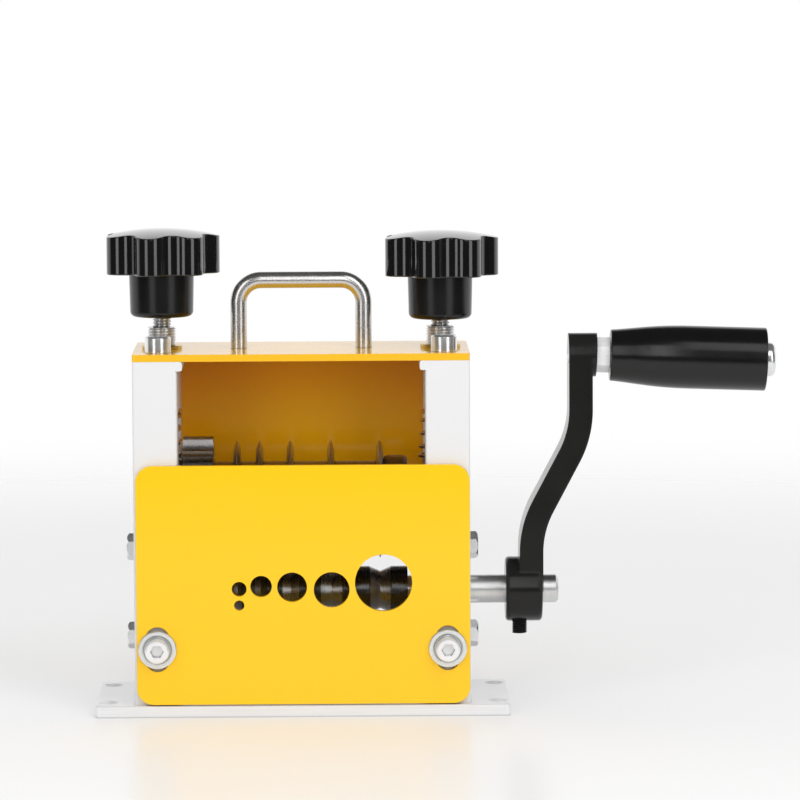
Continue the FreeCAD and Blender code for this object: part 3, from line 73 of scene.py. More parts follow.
# a thread's profile over one turn: height in pitches, and whether it is on the crest
THREAD_PROFILE = ((-2.0, False), (-1.85, False), (-1.53, True), (-1.32, True), (-1.0, False))
SPARE_TURNS = 4                     # wound past the ends of a thread and cut off again
FLOOR_RADIUS = 9.0
FLOOR_FADE = (0.45, 1.1)            # the floor fades out between these distances from the part
SENSOR_WIDTH = 36.0                 # in millimetres, as a camera takes it
VIEW_REACH = 50.0                   # how far the camera sees

# ---- how finely round forms are divided
FLOOR_FACETS = 96
RING_FACETS = 64
FOOT_FACETS = 48
THREAD_STEPS = 40
COIL_STEPS = 32
WIRE_FACETS = 12

# ---- how near two corners are when they become one
WELD = 0.002 * MM
RING_WELD = 0.001 * MM
COIL_WELD = 0.02 * MM
CUT_TOLERANCE = 1e-7                # for the square cuts at a thread's ends

# ---- grain of the finishes, in marks a metre
BRUSH_ACROSS = 2600.0               # across the brushed lines
BRUSH_ALONG = 30.0                  # and along them
FINE_RINGS = 2400.0
COARSE_RINGS = 420.0

# ---- gloss and edges of the finishes
ENAMEL_EDGE = 0.35 * MM             # rounding of the enamelled edges
POLISHED_ROUGHNESS = 0.06
POLISHED_COAT = 0.8
POLISH_BAND = 0.5 * MM              # height over which the polish sets in
BRASS = (0.62, 0.42, 0.10, 1.0)

# ---- places read from the frame
BLADE_AXIS_Z = sum(corner.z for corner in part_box("blade_3")) / 2
CRANK_AXIS_Z = sum(corner.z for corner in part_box("feed_roller")) / 2
SIDES = ("left", "right")
BLADE_NUMBERS = range(1, 6)


def middle(node):
    """Middle of a node's box."""
    low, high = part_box(node)
    return (low + high) / 2


# ------------------------------------------------ sizes and colours a user may change

def colour_property(name, description, default):
    """A colour that is shown as a swatch in the sidebar."""
    return bpy.props.FloatVectorProperty(name=name, description=description, default=default,
                                         size=3, min=0.0, max=1.0, subtype="COLOR")


def length_property(name, description, default):
    """A length in metres."""
    return bpy.props.FloatProperty(name=name, description=description, default=default,
                                   min=0.0, precision=5, unit="LENGTH")


def angle_property(name, description, degrees):
    """An angle, given in degrees."""
    return bpy.props.FloatProperty(name=name, description=description,
                                   default=math.radians(degrees), subtype="ANGLE")


class StripperPaint(bpy.types.PropertyGroup):
    """Colours of the painted and moulded pieces."""

    plate_yellow: colour_property("Plate yellow", "Gloss enamel on the front and back plates",
                                  (0.985, 0.585, 0.007))
    top_yellow: colour_property("Top yellow", "Gloss enamel on the top plate", (0.91, 0.50, 0.025))
    # painted shade: the deeper yellow that stands for the shade on the back plate's inner face
    # inside the box
    painted_shade_yellow: colour_property("Inner yellow",
                                   "Deeper enamel at the head of the back plate's inner face",
                                   (0.92, 0.30, 0.001))
    frame_silver: colour_property("Frame silver", "Fine textured silver paint on the side frames",
                                  (0.78, 0.78, 0.785))
    handle_black: colour_property("Handle black", "Moulded black of the knobs and the grip",
                                  (0.0035, 0.0035, 0.0035))
    crank_black: colour_property("Crank black", "Paint on the crank arm", (0.010, 0.010, 0.0095))


class StripperSprings(bpy.types.PropertyGroup):
    """Sizes of the springs above the bearing blocks."""

    wire: length_property("Wire", "Thickness of the spring wire", 1.9 * MM)
    diameter: length_property("Diameter", "Outside diameter of the coil", 16.2 * MM)
    turns: bpy.props.IntProperty(name="Turns", description="Open turns between the closed ends",
                                 default=3, min=2, max=12)
    lean: length_property("Lean", "How far inwards the foot of the right spring stands", 1.8 * MM)


class StripperThreads(bpy.types.PropertyGroup):
    """Sizes of the screw threads."""

    knob_diameter: length_property("Knob screw", "Outside diameter of the knob screws", 7.9 * MM)
    knob_pitch: length_property("Knob screw pitch", "Rise of one turn of a knob screw", 1.25 * MM)
    bush_diameter: length_property("Bush", "Outside diameter of the bushes' thread", 12.0 * MM)
    bush_pitch: length_property("Bush pitch", "Rise of one turn of the bushes' thread", 1.25 * MM)
    bush_bore: length_property("Bush bore", "Diameter of the bore for the knob screw", 8.0 * MM)
    bush_flange: length_property("Bush flange", "Thickness of the flange on the top plate",
                                 1.5 * MM)
    set_screw_pitch: length_property("Set screw pitch", "Rise of one turn of the set screw",
                                     0.8 * MM)


class StripperView(bpy.types.PropertyGroup):
    """The camera."""

    camera_place: bpy.props.FloatVectorProperty(
        name="Camera place", description="Where the camera stands",
        default=(0.01469, -1.97843, 0.33106), size=3, precision=5, subtype="TRANSLATION")
    camera_turn: angle_property("Camera turn", "Turn of the view towards +X", 0.785)
    camera_dip: angle_property("Camera dip", "Tilt of the view down from level", 5.79)
    camera_roll: angle_property("Camera roll", "Roll of the camera about its view", -0.268)
    lens: bpy.props.FloatProperty(name="Lens", description="Focal length on a 36 mm wide sensor",
                                  default=210.57, min=10.0, unit="CAMERA")


# ---------------------------------------------------------------- shader wiring

class Value:
    """A shader socket whose sums are written as plain Python expressions."""

    def __init__(self, finish, socket):
        self.finish = finish
        self.socket = socket

    def sum(self, operation, *values):
        """The result of one Math node."""
        return self.finish.node("ShaderNodeMath", {"operation": operation}, dict(enumerate(values)))

    def __add__(self, other):
        return self.sum("ADD", self, other)

    __radd__ = __add__

    def __sub__(self, other):
        return self.sum("SUBTRACT", self, other)

    def __rsub__(self, other):
        return self.sum("SUBTRACT", other, self)

    def __mul__(self, other):
        return self.sum("MULTIPLY", self, other)

    def __pow__(self, other):
        return self.sum("POWER", self, other)

    def __abs__(self):
        return self.sum("ABSOLUTE", self)

    def between(self, low, high):
        """0 below low, 1 above high, and a smooth rise from one to the other."""
        return self.finish.node("ShaderNodeMapRange", {"interpolation_type": "SMOOTHSTEP"},
                                {"Value": self, "From Min": low, "From Max": high})

    def at_least(self, other):
        """The larger of two values."""
        return self.sum("MAXIMUM", self, other)


class Finish:
    """One material while it is being wired."""

    def __init__(self, name, tree=None):
        self.material = None
        if tree is None:
            self.material = bpy.data.materials.new(name)
            self.material.use_nodes = True
            tree = self.material.node_tree
        tree.nodes.clear()
        self.tree = tree

    def node(self, kind, settings=(), inputs=(), output=0):
        """Adds a node: its settings first, then the values or links of its sockets."""
        made = self.tree.nodes.new(kind)
        for name, value in dict(settings).items():
            setattr(made, name, value)
        for name, value in dict(inputs).items():
            if isinstance(value, Value):
                self.tree.links.new(value.socket, made.inputs[name])
            else:
                made.inputs[name].default_value = value
        return Value(self, made.outputs[output]) if made.outputs else None

    def place(self):
        """Place on the piece, in metres."""
        return self.node("ShaderNodeTexCoord", output="Object")

    def axes(self, vector):
        """The three parts of a vector."""
        first = self.node("ShaderNodeSeparateXYZ", inputs={0: vector})
        return [Value(self, output) for output in first.socket.node.outputs]

    def vector(self, x, y, z):
        """A vector of three values."""
        return self.node("ShaderNodeCombineXYZ", inputs={0: x, 1: y, 2: z})

    def scaled(self, vector, scale):
        """A vector with each part multiplied."""
        return self.node("ShaderNodeVectorMath", {"operation": "MULTIPLY"}, {0: vector, 1: scale})

    def noise(self, vector, scale, detail, roughness=0.5):
        """Soft random values from about 0.2 to 0.8."""
        return self.node("ShaderNodeTexNoise", inputs={"Vector": vector, "Scale": scale,
                                                       "Detail": detail, "Roughness": roughness})

    def mix(self, share, first, second):
        """A colour between two colours."""
        return self.node("ShaderNodeMix", {"data_type": "RGBA"}, {0: share, 6: first, 7: second},
                         output=2)

    def rounded(self, radius):
        """Normal with the piece's edges rounded to a radius."""
        return self.node("ShaderNodeBevel", {"samples": 4}, {"Radius": radius})

    def edge(self, radius):
        """1 on sharp edges and 0 on flat faces."""
        face = self.node("ShaderNodeNewGeometry", output="Normal")
        dot = self.node("ShaderNodeVectorMath", {"operation": "DOT_PRODUCT"},
                        {0: self.rounded(radius), 1: face}, output="Value")
        return (1.0 - dot).between(0.02, 0.2)

    def crease_shade(self, reach):
        """Up to 1 in corners and hollows, and 0 on open faces: the mask for painted shade."""
        open_share = self.node("ShaderNodeAmbientOcclusion", {"samples": 8}, {"Distance": reach},
                               output="AO")
        return 1.0 - open_share.between(0.25, 0.85)

    def bump(self, height, depth, strength, normal=None):
        """Normal over small hollows that are depth metres deep."""
        inputs = {"Height": height, "Distance": depth, "Strength": strength}
        if normal is not None:
            inputs["Normal"] = normal
        return self.node("ShaderNodeBump", inputs=inputs)

    def surface(self, **sockets):
        """Ends the material in a Principled surface and gives the material back."""
        names = {name.replace("_", " ").title().replace("Ior", "IOR"): value
                 for name, value in sockets.items()}
        shader = self.node("ShaderNodeBsdfPrincipled", inputs=names)
        self.output(shader)
        return self.material

    def output(self, shader):
        """Links a shader to the material's output, or to the world's."""
        kind = "ShaderNodeOutputMaterial" if self.material else "ShaderNodeOutputWorld"
        self.node(kind, inputs={"Surface": shader})


def rgba(colour):
    """A colour with full alpha."""
    return (*colour, 1.0)


def darker(colour, share):
    """A colour with its channels multiplied and full alpha."""
    return (*(channel * share for channel in colour), 1.0)


def dress(material, *nodes):
    """Puts a material on every slot of some CAD nodes."""
    for node in nodes:
        for slot in NODES[node].material_slots:
            slot.material = material


# ---------------------------------------------------------------- finishes

def enamel(name, colour, inner=None, node=None):
    """Gloss enamel with a slight orange-peel skin.

    With an inner colour it is painted with shade: it deepens towards that colour up the node's
    front face and towards its ends.
    """
    finish = Finish(name)
    place = finish.place()
    skin = finish.noise(place, 520.0, 2.0)
    cloud = finish.noise(place, 18.0, 3.0)
    speck = finish.noise(place, 2600.0, 1.0).between(0.68, 0.78)
    edge = finish.edge(ENAMEL_EDGE)
    base = finish.mix(cloud * 0.4, rgba(colour), darker(colour, 0.95))
    roughness = cloud * 0.08 + 0.07
    if inner:
        low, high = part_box(node)
        x, y, z = finish.axes(place)
        face = 1.0 - y.between(low.y + 0.5 * MM, low.y + 1.0 * MM)
        height = z.between((low.z + high.z) / 2, high.z)
        side = abs(x - 0.15 * high.x).between(0.0, high.x)
        # painted shade: the inner face turns towards the inner colour, more towards its top and its
        # ends
        base = finish.mix(face * (0.40 + height * 0.40 + side * 0.20), base, rgba(inner))
        roughness = roughness + face * 0.03
    base = finish.mix(speck * 0.2, base, darker(colour, 0.75))
    # painted highlight: the rounded edges are painted a lighter yellow
    base = finish.mix(edge * 0.3, base, rgba([min(1.0, c * 1.06 + 0.03) for c in colour]))
    normal = finish.bump(skin, 0.006 * MM, 0.5, finish.rounded(ENAMEL_EDGE))
    return finish.surface(base_color=base, roughness=roughness, specular_ior_level=0.5,
                          normal=normal)


def silver_paint(colour):
    """Fine textured silver paint: small grains that catch the light one by one."""
    finish = Finish("silver_paint")
    place = finish.place()
    grain = finish.noise(place, 1500.0, 3.0, 0.65)
    fleck = finish.noise(place, 3800.0, 1.0)
    cloud = finish.noise(place, 30.0, 3.0)
    base = finish.mix(cloud * 0.5, rgba(colour), darker(colour, 0.95))
    base = finish.mix(fleck.between(0.6, 0.75) * 0.35, base, darker(colour, 0.78))
    base = finish.mix(grain.between(0.62, 0.72) * 0.5, base, (0.95, 0.95, 0.96, 1.0))
    normal = finish.bump(grain, 0.03 * MM, 0.55, finish.rounded(0.4 * MM))
    return finish.surface(base_color=base, metallic=fleck.between(0.45, 0.7) * 0.25,
                          roughness=0.42 + cloud * 0.2, normal=normal)


def brushed(name, colour, along, roughness, metallic=1.0):
    """Metal with fine lines that run along one axis."""
    finish = Finish(name)
    stretch = [BRUSH_ALONG if axis == along else BRUSH_ACROSS for axis in "XYZ"]
    place = finish.place()
    lines = finish.noise(finish.scaled(place, stretch), 1.0, 3.0, 0.6)
    cloud = finish.noise(place, 45.0, 3.0)
    base = finish.mix(lines * 0.7, rgba(colour), darker(colour, 0.72))
    # painted shade: darker in corners and hollows
    base = finish.mix(finish.crease_shade(1.5 * MM) * 0.8, base, darker(colour, 0.12))
    normal = finish.bump(lines, 0.004 * MM, 0.6, finish.rounded(0.3 * MM))
    return finish.surface(base_color=base, metallic=metallic,
                          roughness=lines * 0.18 + cloud * 0.12 + (roughness - 0.12), normal=normal)


def turned(name, colour, axis_z, roughness=0.25, soil=0.15, bright_radius=0.0):
    """Metal turned on a lathe about a shaft's axis, with rings round it and on its faces.

    Where a bright radius is given, the metal is brighter inside it.
    """
    finish = Finish(name)
    place = finish.place()
    x, y, z = finish.axes(place)
    radius = (y * y + (z - axis_z) * (z - axis_z)) ** 0.5
    rings = finish.noise(finish.vector(x * FINE_RINGS, radius * FINE_RINGS, 0.0), 1.0, 2.0)
    coarse = finish.noise(finish.vector(x * COARSE_RINGS, radius * COARSE_RINGS, 0.0), 1.0, 1.0)
    cloud = finish.noise(place, 70.0, 4.0)
    base = finish.mix(coarse * 0.5, rgba(colour), darker(colour, 0.7))
    base = finish.mix(cloud.between(0.5, 0.8) * soil, base, darker(colour, 0.35))
    if bright_radius:
        groove = 1.0 - radius.between(bright_radius - 0.15 * MM, bright_radius)
        base = finish.mix(groove * (1.0 - coarse * 0.5), base, (0.36, 0.36, 0.36, 1.0))
    normal = finish.bump(rings + coarse, 0.006 * MM, 0.7, finish.rounded(0.3 * MM))
    return finish.surface(base_color=base, metallic=1.0,
                          roughness=rings * 0.15 + cloud * 0.2 + (roughness - 0.1), normal=normal)


def plated(name, colour, roughness, metallic=1.0, brass_top=0.0):
    """Plated steel of the small pieces, a little clouded and scratched; pale zinc is less metallic.

    Below the height brass_top the piece is brass.
    """
    finish = Finish(name)
    place = finish.place()
    cloud = finish.noise(place, 220.0, 4.0, 0.6)
    scratch = finish.noise(finish.scaled(place, (300.0, 3200.0, 900.0)), 1.0, 2.0)
    base = finish.mix(cloud * 0.4, rgba(colour), darker(colour, 0.86))
    # painted shade: darker in corners and hollows
    base = finish.mix(finish.crease_shade(1.2 * MM) * 0.75, base, darker(colour, 0.12))
    if brass_top:
        z = finish.axes(place)[2]
        base = finish.mix(z.between(brass_top, brass_top + 0.1 * MM), BRASS, base)
    normal = finish.bump(cloud + scratch * 0.4, 0.0015 * MM, 0.4, finish.rounded(0.25 * MM))
    return finish.surface(base_color=base, metallic=metallic,
                          roughness=cloud * 0.16 + (roughness - 0.08), normal=normal)


def moulded_black(name, colour, roughness, polished_above=None):
    """Hard black plastic with faint flow marks and handling haze, polished above a height."""
    finish = Finish(name)
    place = finish.place()
    haze = finish.noise(place, 60.0, 4.0, 0.6)
    flow = finish.noise(finish.scaled(place, (140.0, 140.0, 40.0)), 1.0, 2.0)
    base = finish.mix(haze, rgba(colour), darker(colour, 1.8))
    normal = finish.bump(flow, 0.012 * MM, 0.4, finish.rounded(0.4 * MM))
    coat = 0.0
    if polished_above:
        z = finish.axes(place)[2]
        polish = z.between(polished_above, polished_above + POLISH_BAND)
        roughness = POLISHED_ROUGHNESS + (1.0 - polish) * (roughness - POLISHED_ROUGHNESS)
        coat = polish * POLISHED_COAT
    return finish.surface(base_color=base, roughness=haze * 0.12 + roughness,
                          specular_ior_level=0.42, coat_weight=coat, normal=normal)


def cast_black(colour):
    """Black paint over a casting, with the sand's soft dimples showing through."""
    finish = Finish("black_casting")
    place = finish.place()
    dimple = finish.noise(place, 420.0, 3.0, 0.55)
    haze = finish.noise(place, 50.0, 3.0)
    edge = finish.edge(0.5 * MM)
    base = finish.mix(haze, rgba(colour), darker(colour, 1.7))
    # painted highlight: the rounded edges are painted a lighter grey
    base = finish.mix(edge * 0.4, base, (0.05, 0.05, 0.05, 1.0))
    normal = finish.bump(dimple, 0.015 * MM, 0.4, finish.rounded(1.4 * MM))
    return finish.surface(base_color=base, roughness=haze * 0.12 + 0.08, specular_ior_level=0.22,
                          normal=normal)


def oxide_black():
    """Black oxide on the set screw, worn brown-grey on its crests."""
    finish = Finish("black_screw")
    place = finish.place()
    wear = finish.noise(place, 500.0, 3.0)
    base = finish.mix(wear.between(0.5, 0.8) * 0.6, (0.012, 0.012, 0.013, 1.0),
                      (0.07, 0.065, 0.06, 1.0))
    return finish.surface(base_color=base, metallic=0.7, roughness=wear * 0.2 + 0.3,
                          normal=finish.bump(wear, 0.01 * MM, 0.5))


# ---------------------------------------------------------------- modelling helpers

def deselect():
    """Leaves nothing selected, so that an operator acts on the new piece alone."""
    if bpy.context.mode != "OBJECT":
        bpy.ops.object.mode_set(mode="OBJECT")
    bpy.ops.object.select_all(action="DESELECT")


def edit(piece):
    """Edit mode on one piece, by its corners, all of it selected."""
    deselect()
    bpy.context.view_layer.objects.active = piece
    piece.select_set(True)
    bpy.ops.object.mode_set(mode="EDIT")
    bpy.ops.mesh.select_mode(type="VERT")
    bpy.ops.mesh.select_all(action="SELECT")


def close_edit():
    """Back to object mode."""
    bpy.ops.object.mode_set(mode="OBJECT")


def trace(name, points):
    """A chain of edges through points, drawn by extruding one corner from each to the next."""
    deselect()
    bpy.ops.mesh.primitive_plane_add(size=MM)
    piece = bpy.context.object
    piece.name = name
    edit(piece)
    bpy.ops.mesh.merge(type="CENTER")
    bpy.ops.transform.translate(value=points[0])
    for start, end in zip(points, points[1:]):
        step = Vector(end) - Vector(start)
        bpy.ops.mesh.extrude_vertices_move(TRANSFORM_OT_translate={"value": step})
    close_edit()
    return piece


def apply_modifiers(piece):
    """Applies every modifier of a piece, in order."""
    deselect()
    bpy.context.view_layer.objects.active = piece
    piece.select_set(True)
    for modifier in list(piece.modifiers):
        bpy.ops.object.modifier_apply(modifier=modifier.name)


def wind(piece, rise, turns, steps):
    """Winds a profile up the Z axis through its origin."""
    screw = piece.modifiers.new("Wind", "SCREW")
    screw.axis = "Z"
    screw.angle = 2 * math.pi
    screw.iterations = turns
    screw.screw_offset = rise
    screw.steps = steps
    screw.render_steps = steps
    screw.use_merge_vertices = False
    screw.use_smooth_shade = True
    apply_modifiers(piece)


def lathe(piece):
    """Turns a closed profile about the Z axis into a ring."""
    turn = piece.modifiers.new("Turn", "SCREW")
    turn.axis = "Z"
    turn.steps = RING_FACETS
    turn.render_steps = RING_FACETS
    turn.use_merge_vertices = True
    turn.merge_threshold = RING_WELD
    apply_modifiers(piece)


def bore(piece, radius, length):
    """Cuts a round hole along the Z axis through a piece that stands on the floor."""
    deselect()
    bpy.ops.mesh.primitive_cylinder_add(vertices=RING_FACETS, radius=radius, depth=2 * length,
                                        location=(0, 0, length / 2))
    cutter = bpy.context.object
    cut = piece.modifiers.new("Bore", "BOOLEAN")
    cut.operation = "DIFFERENCE"
    cut.solver = "EXACT"
    cut.object = cutter
    apply_modifiers(piece)
    deselect()
    cutter.select_set(True)
    bpy.ops.object.delete()


def join(pieces):
    """Joins pieces into the first."""
    deselect()
    for piece in pieces:
        piece.select_set(True)
    bpy.context.view_layer.objects.active = pieces[0]
    bpy.ops.object.join()
    return pieces[0]


def tidy(piece, smooth_angle=35.0):
    """Merges doubles, turns the faces outwards and smooths the gentle corners."""
    edit(piece)
    bpy.ops.mesh.remove_doubles(threshold=WELD)
    bpy.ops.mesh.normals_make_consistent(inside=False)
    close_edit()
    bpy.ops.object.shade_smooth_by_angle(angle=math.radians(smooth_angle))


def put(piece, place):
    """Moves a piece to its place and leaves its object at the origin."""
    deselect()
    bpy.context.view_layer.objects.active = piece
    piece.select_set(True)
    bpy.ops.transform.translate(value=place)
    bpy.ops.object.transform_apply(location=True, rotation=True, scale=True)


def finish_piece(piece, material):
    """Gives a new piece its one material and the slot it belongs to."""
    piece.data.materials.clear()
    piece.data.materials.append(material)


# ---------------------------------------------------------------- operators

class PieceOperator(bpy.types.Operator):
    """Base of the operators that make or finish pieces."""

    bl_options = {"REGISTER", "UNDO"}

    def execute(self, context):
        self.make(context.scene)
        return {"FINISHED"}


class STRIPPER_OT_stage(PieceOperator):
    """Set the pale floor, the soft lamps and the camera"""

    bl_idname = "stripper.stage"
    bl_label = "Stage"

    def make(self, scene):
        scene.view_settings.view_transform = "Standard"
        self.floor()
        self.sky(scene)
        self.lamps()
        self.camera(scene)

    def floor(self):
        """A pale floor that keeps the part's shadow and fades out into the room away from it."""
        deselect()
        bpy.ops.mesh.primitive_circle_add(vertices=FLOOR_FACETS, radius=FLOOR_RADIUS,
                                          fill_type="TRIFAN")
        floor = bpy.context.object
        floor.name = "floor"
        finish = Finish("floor_paper")
        place = finish.place()
        x, y = finish.axes(place)[:2]
        camera, mirror = self.rays(finish)
        far = ((x * x + y * y) ** 0.5).between(*FLOOR_FADE)
        cloud = finish.noise(place, 3.0, 2.0)
        floor.data.materials.append(finish.surface(
            base_color=finish.mix(cloud * 0.2, (0.93, 0.93, 0.935, 1.0), (0.91, 0.91, 0.915, 1.0)),
            roughness=cloud * 0.1 + 0.2, specular_ior_level=0.08,
            alpha=1.0 - far * camera.at_least(mirror)))

    def rays(self, finish):
        """1 for a camera ray, and 1 for a ray that a mirror or glass sends on."""
        rays = finish.node("ShaderNodeLightPath").socket.node.outputs
        mirror = Value(finish, rays["Is Glossy Ray"]).at_least(
            Value(finish, rays["Is Transmission Ray"]))
        return Value(finish, rays["Is Camera Ray"]), mirror

    def sky(self, scene):
        """A white sky, which pieces mirror white behind the part and dark in front and above."""
        world = scene.world or bpy.data.worlds.new("studio")
        scene.world = world
        world.use_nodes = True
        finish = Finish("studio", world.node_tree)
        y, z = finish.axes(finish.node("ShaderNodeTexCoord", output="Generated"))[1:]
        camera, mirror = self.rays(finish)
        behind = y.between(-0.1, 0.2) * (1.0 - z.between(0.42, 0.68))
        plain = z.between(-0.2, 1.0) * 0.36 + 0.48
        level = camera + (1.0 - camera) * (mirror * (behind * 0.96 + 0.04) + (1.0 - mirror) * plain)
        grey = finish.vector(level, level, level)
        finish.output(finish.node("ShaderNodeBackground", inputs={"Color": grey, "Strength": 1.0}))

    def lamps(self):
        """Upright soft boxes in front of the part: place, width, height and brightness."""
        for name, place, width, height, brightness in (
            ("left_strip", (-0.70, -1.04, 0.60), 0.42, 1.13, 2.2),
            ("right_strip", (0.73, -1.02, 0.60), 0.48, 1.13, 2.2),
            ("front_box", (0.06, -1.40, 1.00), 0.24, 1.36, 2.9),
            ("high_box", (0.53, -0.90, 1.35), 0.54, 1.14, 2.0),
        ):
            lamp = bpy.data.lights.new(name, "AREA")
            lamp.shape = "RECTANGLE"
            lamp.size, lamp.size_y = width, height
            lamp.energy = brightness * math.pi * width * height
            made = bpy.data.objects.new(name, lamp)
            bpy.context.scene.collection.objects.link(made)
            made.location = place
            made.rotation_euler = (math.pi / 2, 0.0, math.atan2(place[0], -place[1]))
            made.visible_camera = False

    def camera(self, scene):
        """The camera, turned, dipped and rolled as its settings say."""
        view = scene.stripper_view
        lens = bpy.data.cameras.new("camera")
        lens.sensor_width = SENSOR_WIDTH
        lens.lens = view.lens
        lens.clip_end = VIEW_REACH
        camera = bpy.data.objects.new("camera", lens)
        scene.collection.objects.link(camera)
        level = (Matrix.Rotation(-view.camera_turn, 4, "Z")
                 @ Matrix.Rotation(math.pi / 2 - view.camera_dip, 4, "X"))
        camera.matrix_world = (Matrix.Translation(view.camera_place) @ level
                               @ Matrix.Rotation(view.camera_roll, 4, "Z"))
        scene.camera = camera


class STRIPPER_OT_plates(PieceOperator):
    """Enamel the yellow plates"""

    bl_idname = "stripper.plates"
    bl_label = "Yellow plates"

    def make(self, scene):
        paint = scene.stripper_paint
        dress(enamel("yellow_paint_front", paint.plate_yellow), "front_plate")
        dress(enamel("yellow_paint_top", paint.top_yellow), "top_plate")
        # the back plate's inner face gets painted shade
        dress(enamel("yellow_paint_back", paint.plate_yellow, paint.painted_shade_yellow, "back_plate"),
              "back_plate")


class STRIPPER_OT_frames(PieceOperator):
    """Paint the side frames and brush the base"""

    bl_idname = "stripper.frames"
    bl_label = "Frames and base"

    def make(self, scene):
        dress(silver_paint(scene.stripper_paint.frame_silver),
              "left_side_frame", "right_side_frame")
        dress(brushed("base_aluminium", (0.97, 0.97, 0.98), "X", 0.34, 0.35), "base_plate")
        dress(brushed("block_steel", (0.60, 0.60, 0.61), "Z", 0.3),
              "left_bearing_block", "right_bearing_block", "left_lower_bearing",
              "right_lower_bearing")
        dress(plated("bearing_bronze", (0.62, 0.40, 0.18), 0.35),
              "left_blade_bush", "right_blade_bush")


class STRIPPER_OT_shafts(PieceOperator):
    """Turn the shafts, sleeves, roller and gears"""

    bl_idname = "stripper.shafts"
    bl_label = "Shafts, blades and gears"

    def make(self, scene):
        # painted shade: the blade shaft, its nut, spacer and sleeves sit in shade inside the box,
        # so their turned steel is painted much darker than the crank shaft's
        upper = turned("upper_steel_painted_shade", (0.20, 0.19, 0.18), BLADE_AXIS_Z)
        lower = turned("lower_turned_steel", (0.78, 0.78, 0.78), CRANK_AXIS_Z)
        sleeves = ["blade_sleeve_%d" % number for number in BLADE_NUMBERS]
        blades = ["blade_%d" % number for number in BLADE_NUMBERS]
        dress(upper, "blade_shaft", "blade_lock_nut", "blade_shaft_spacer", *sleeves)
        dress(lower, "crank_shaft", "feed_roller_pin", "crank_shaft_collar")
        # painted shade: the feed roller is painted near-black, lighter only in its grooves
        dress(turned("roller_steel_painted_shade", (0.10, 0.10, 0.10), CRANK_AXIS_Z, 0.2, 0.3,
                     ROLLER_GROOVE_RADIUS), "feed_roller")
        dress(turned("blade_steel", (0.42, 0.41, 0.40), BLADE_AXIS_Z, 0.22, 0.3), *blades)
        dress(turned("upper_gear_steel", (0.38, 0.37, 0.36), BLADE_AXIS_Z, 0.2, 0.4),
              "upper_gear", "upper_gear_key")
        dress(turned("lower_gear_steel", (0.20, 0.20, 0.20), CRANK_AXIS_Z, 0.25, 0.4),
              "lower_gear", "lower_gear_key")


class STRIPPER_OT_fasteners(PieceOperator):
    """Plate the screws, nuts and washers and polish the carry handle"""

    bl_idname = "stripper.fasteners"
    bl_label = "Fasteners and carry handle"

    def make(self, scene):
        dress(plated("washer_zinc", (0.90, 0.92, 0.91), 0.22, 0.7), "front_plate_washers")
        dress(plated("pale_zinc", (0.99, 0.99, 0.995), 0.24, 0.5), "front_plate_screws")
        dress(plated("nut_zinc", (0.99, 0.99, 0.995), 0.3, 0.15), "handle_jam_nut")
        steel = plated("bright_steel", (0.88, 0.885, 0.89), 0.2, 0.85)
        dress(steel, "base_screws", "top_plate_screws", "back_plate_screws", "carry_handle_nuts",
              "side_bolts", "handle_bolt")
        dress(plated("stainless", (0.70, 0.69, 0.68), 0.26, 0.97), "carry_handle")


class STRIPPER_OT_springs(PieceOperator):
    """Wind the two springs above the bearing blocks"""

    bl_idname = "stripper.springs"
    bl_label = "Springs"

    def make(self, scene):
        springs = scene.stripper_springs
        steel = plated("spring_steel", (0.62, 0.60, 0.57), 0.25)
        for side in SIDES:
            node = side + "_spring"
            low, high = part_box(node)
            spring = self.coil(side + "_coil_spring", high.z - low.z, springs)
            if side == "right":
                self.tilt(spring, -springs.lean, high.z - low.z, springs.wire)
            centre = middle(node)
            put(spring, (centre.x, centre.y, low.z))
            finish_piece(spring, steel)
            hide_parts(node)
            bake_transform(spring)

    def coil(self, name, length, springs):
        """A compression spring with one closed turn at each end."""
        wire = springs.wire
        radius = (springs.diameter - wire) / 2
        rise = length - 3 * wire
        # each stretch: the height it starts at, how far it climbs and its turns
        stretches = ((wire / 2, wire, 1), (1.5 * wire, rise, springs.turns),
                     (length - 1.5 * wire, wire, 1))
        parts = []
        for low, climb, turns in stretches:
            deselect()
            bpy.ops.mesh.primitive_circle_add(vertices=WIRE_FACETS, radius=wire / 2,
                                              location=(radius, 0, low),
                                              rotation=(math.pi / 2, 0, 0))
            part = bpy.context.object
            bpy.ops.object.transform_apply(location=True, rotation=True, scale=True)
            wind(part, climb / turns, turns, COIL_STEPS)
            parts.append(part)
        parts[0].name = name
        spring = join(parts)
        edit(spring)
        bpy.ops.mesh.remove_doubles(threshold=COIL_WELD)
        bpy.ops.mesh.select_all(action="DESELECT")
        bpy.ops.mesh.select_mode(type="EDGE")
        bpy.ops.mesh.select_non_manifold()
        bpy.ops.mesh.edge_face_add()
        close_edit()
        tidy(spring, smooth_angle=40.0)
        return spring

    def tilt(self, spring, shift, length, wire):
        """Pushes the foot of a spring along X, less and less towards its head."""
        edit(spring)
        bpy.ops.mesh.select_all(action="DESELECT")
        close_edit()
        for corner in spring.data.vertices:
            corner.select = corner.co.z < wire
        bpy.ops.object.mode_set(mode="EDIT")
        bpy.ops.transform.translate(value=(shift, 0, 0), use_proportional_edit=True,
                                    proportional_edit_falloff="LINEAR", proportional_size=length)
        close_edit()


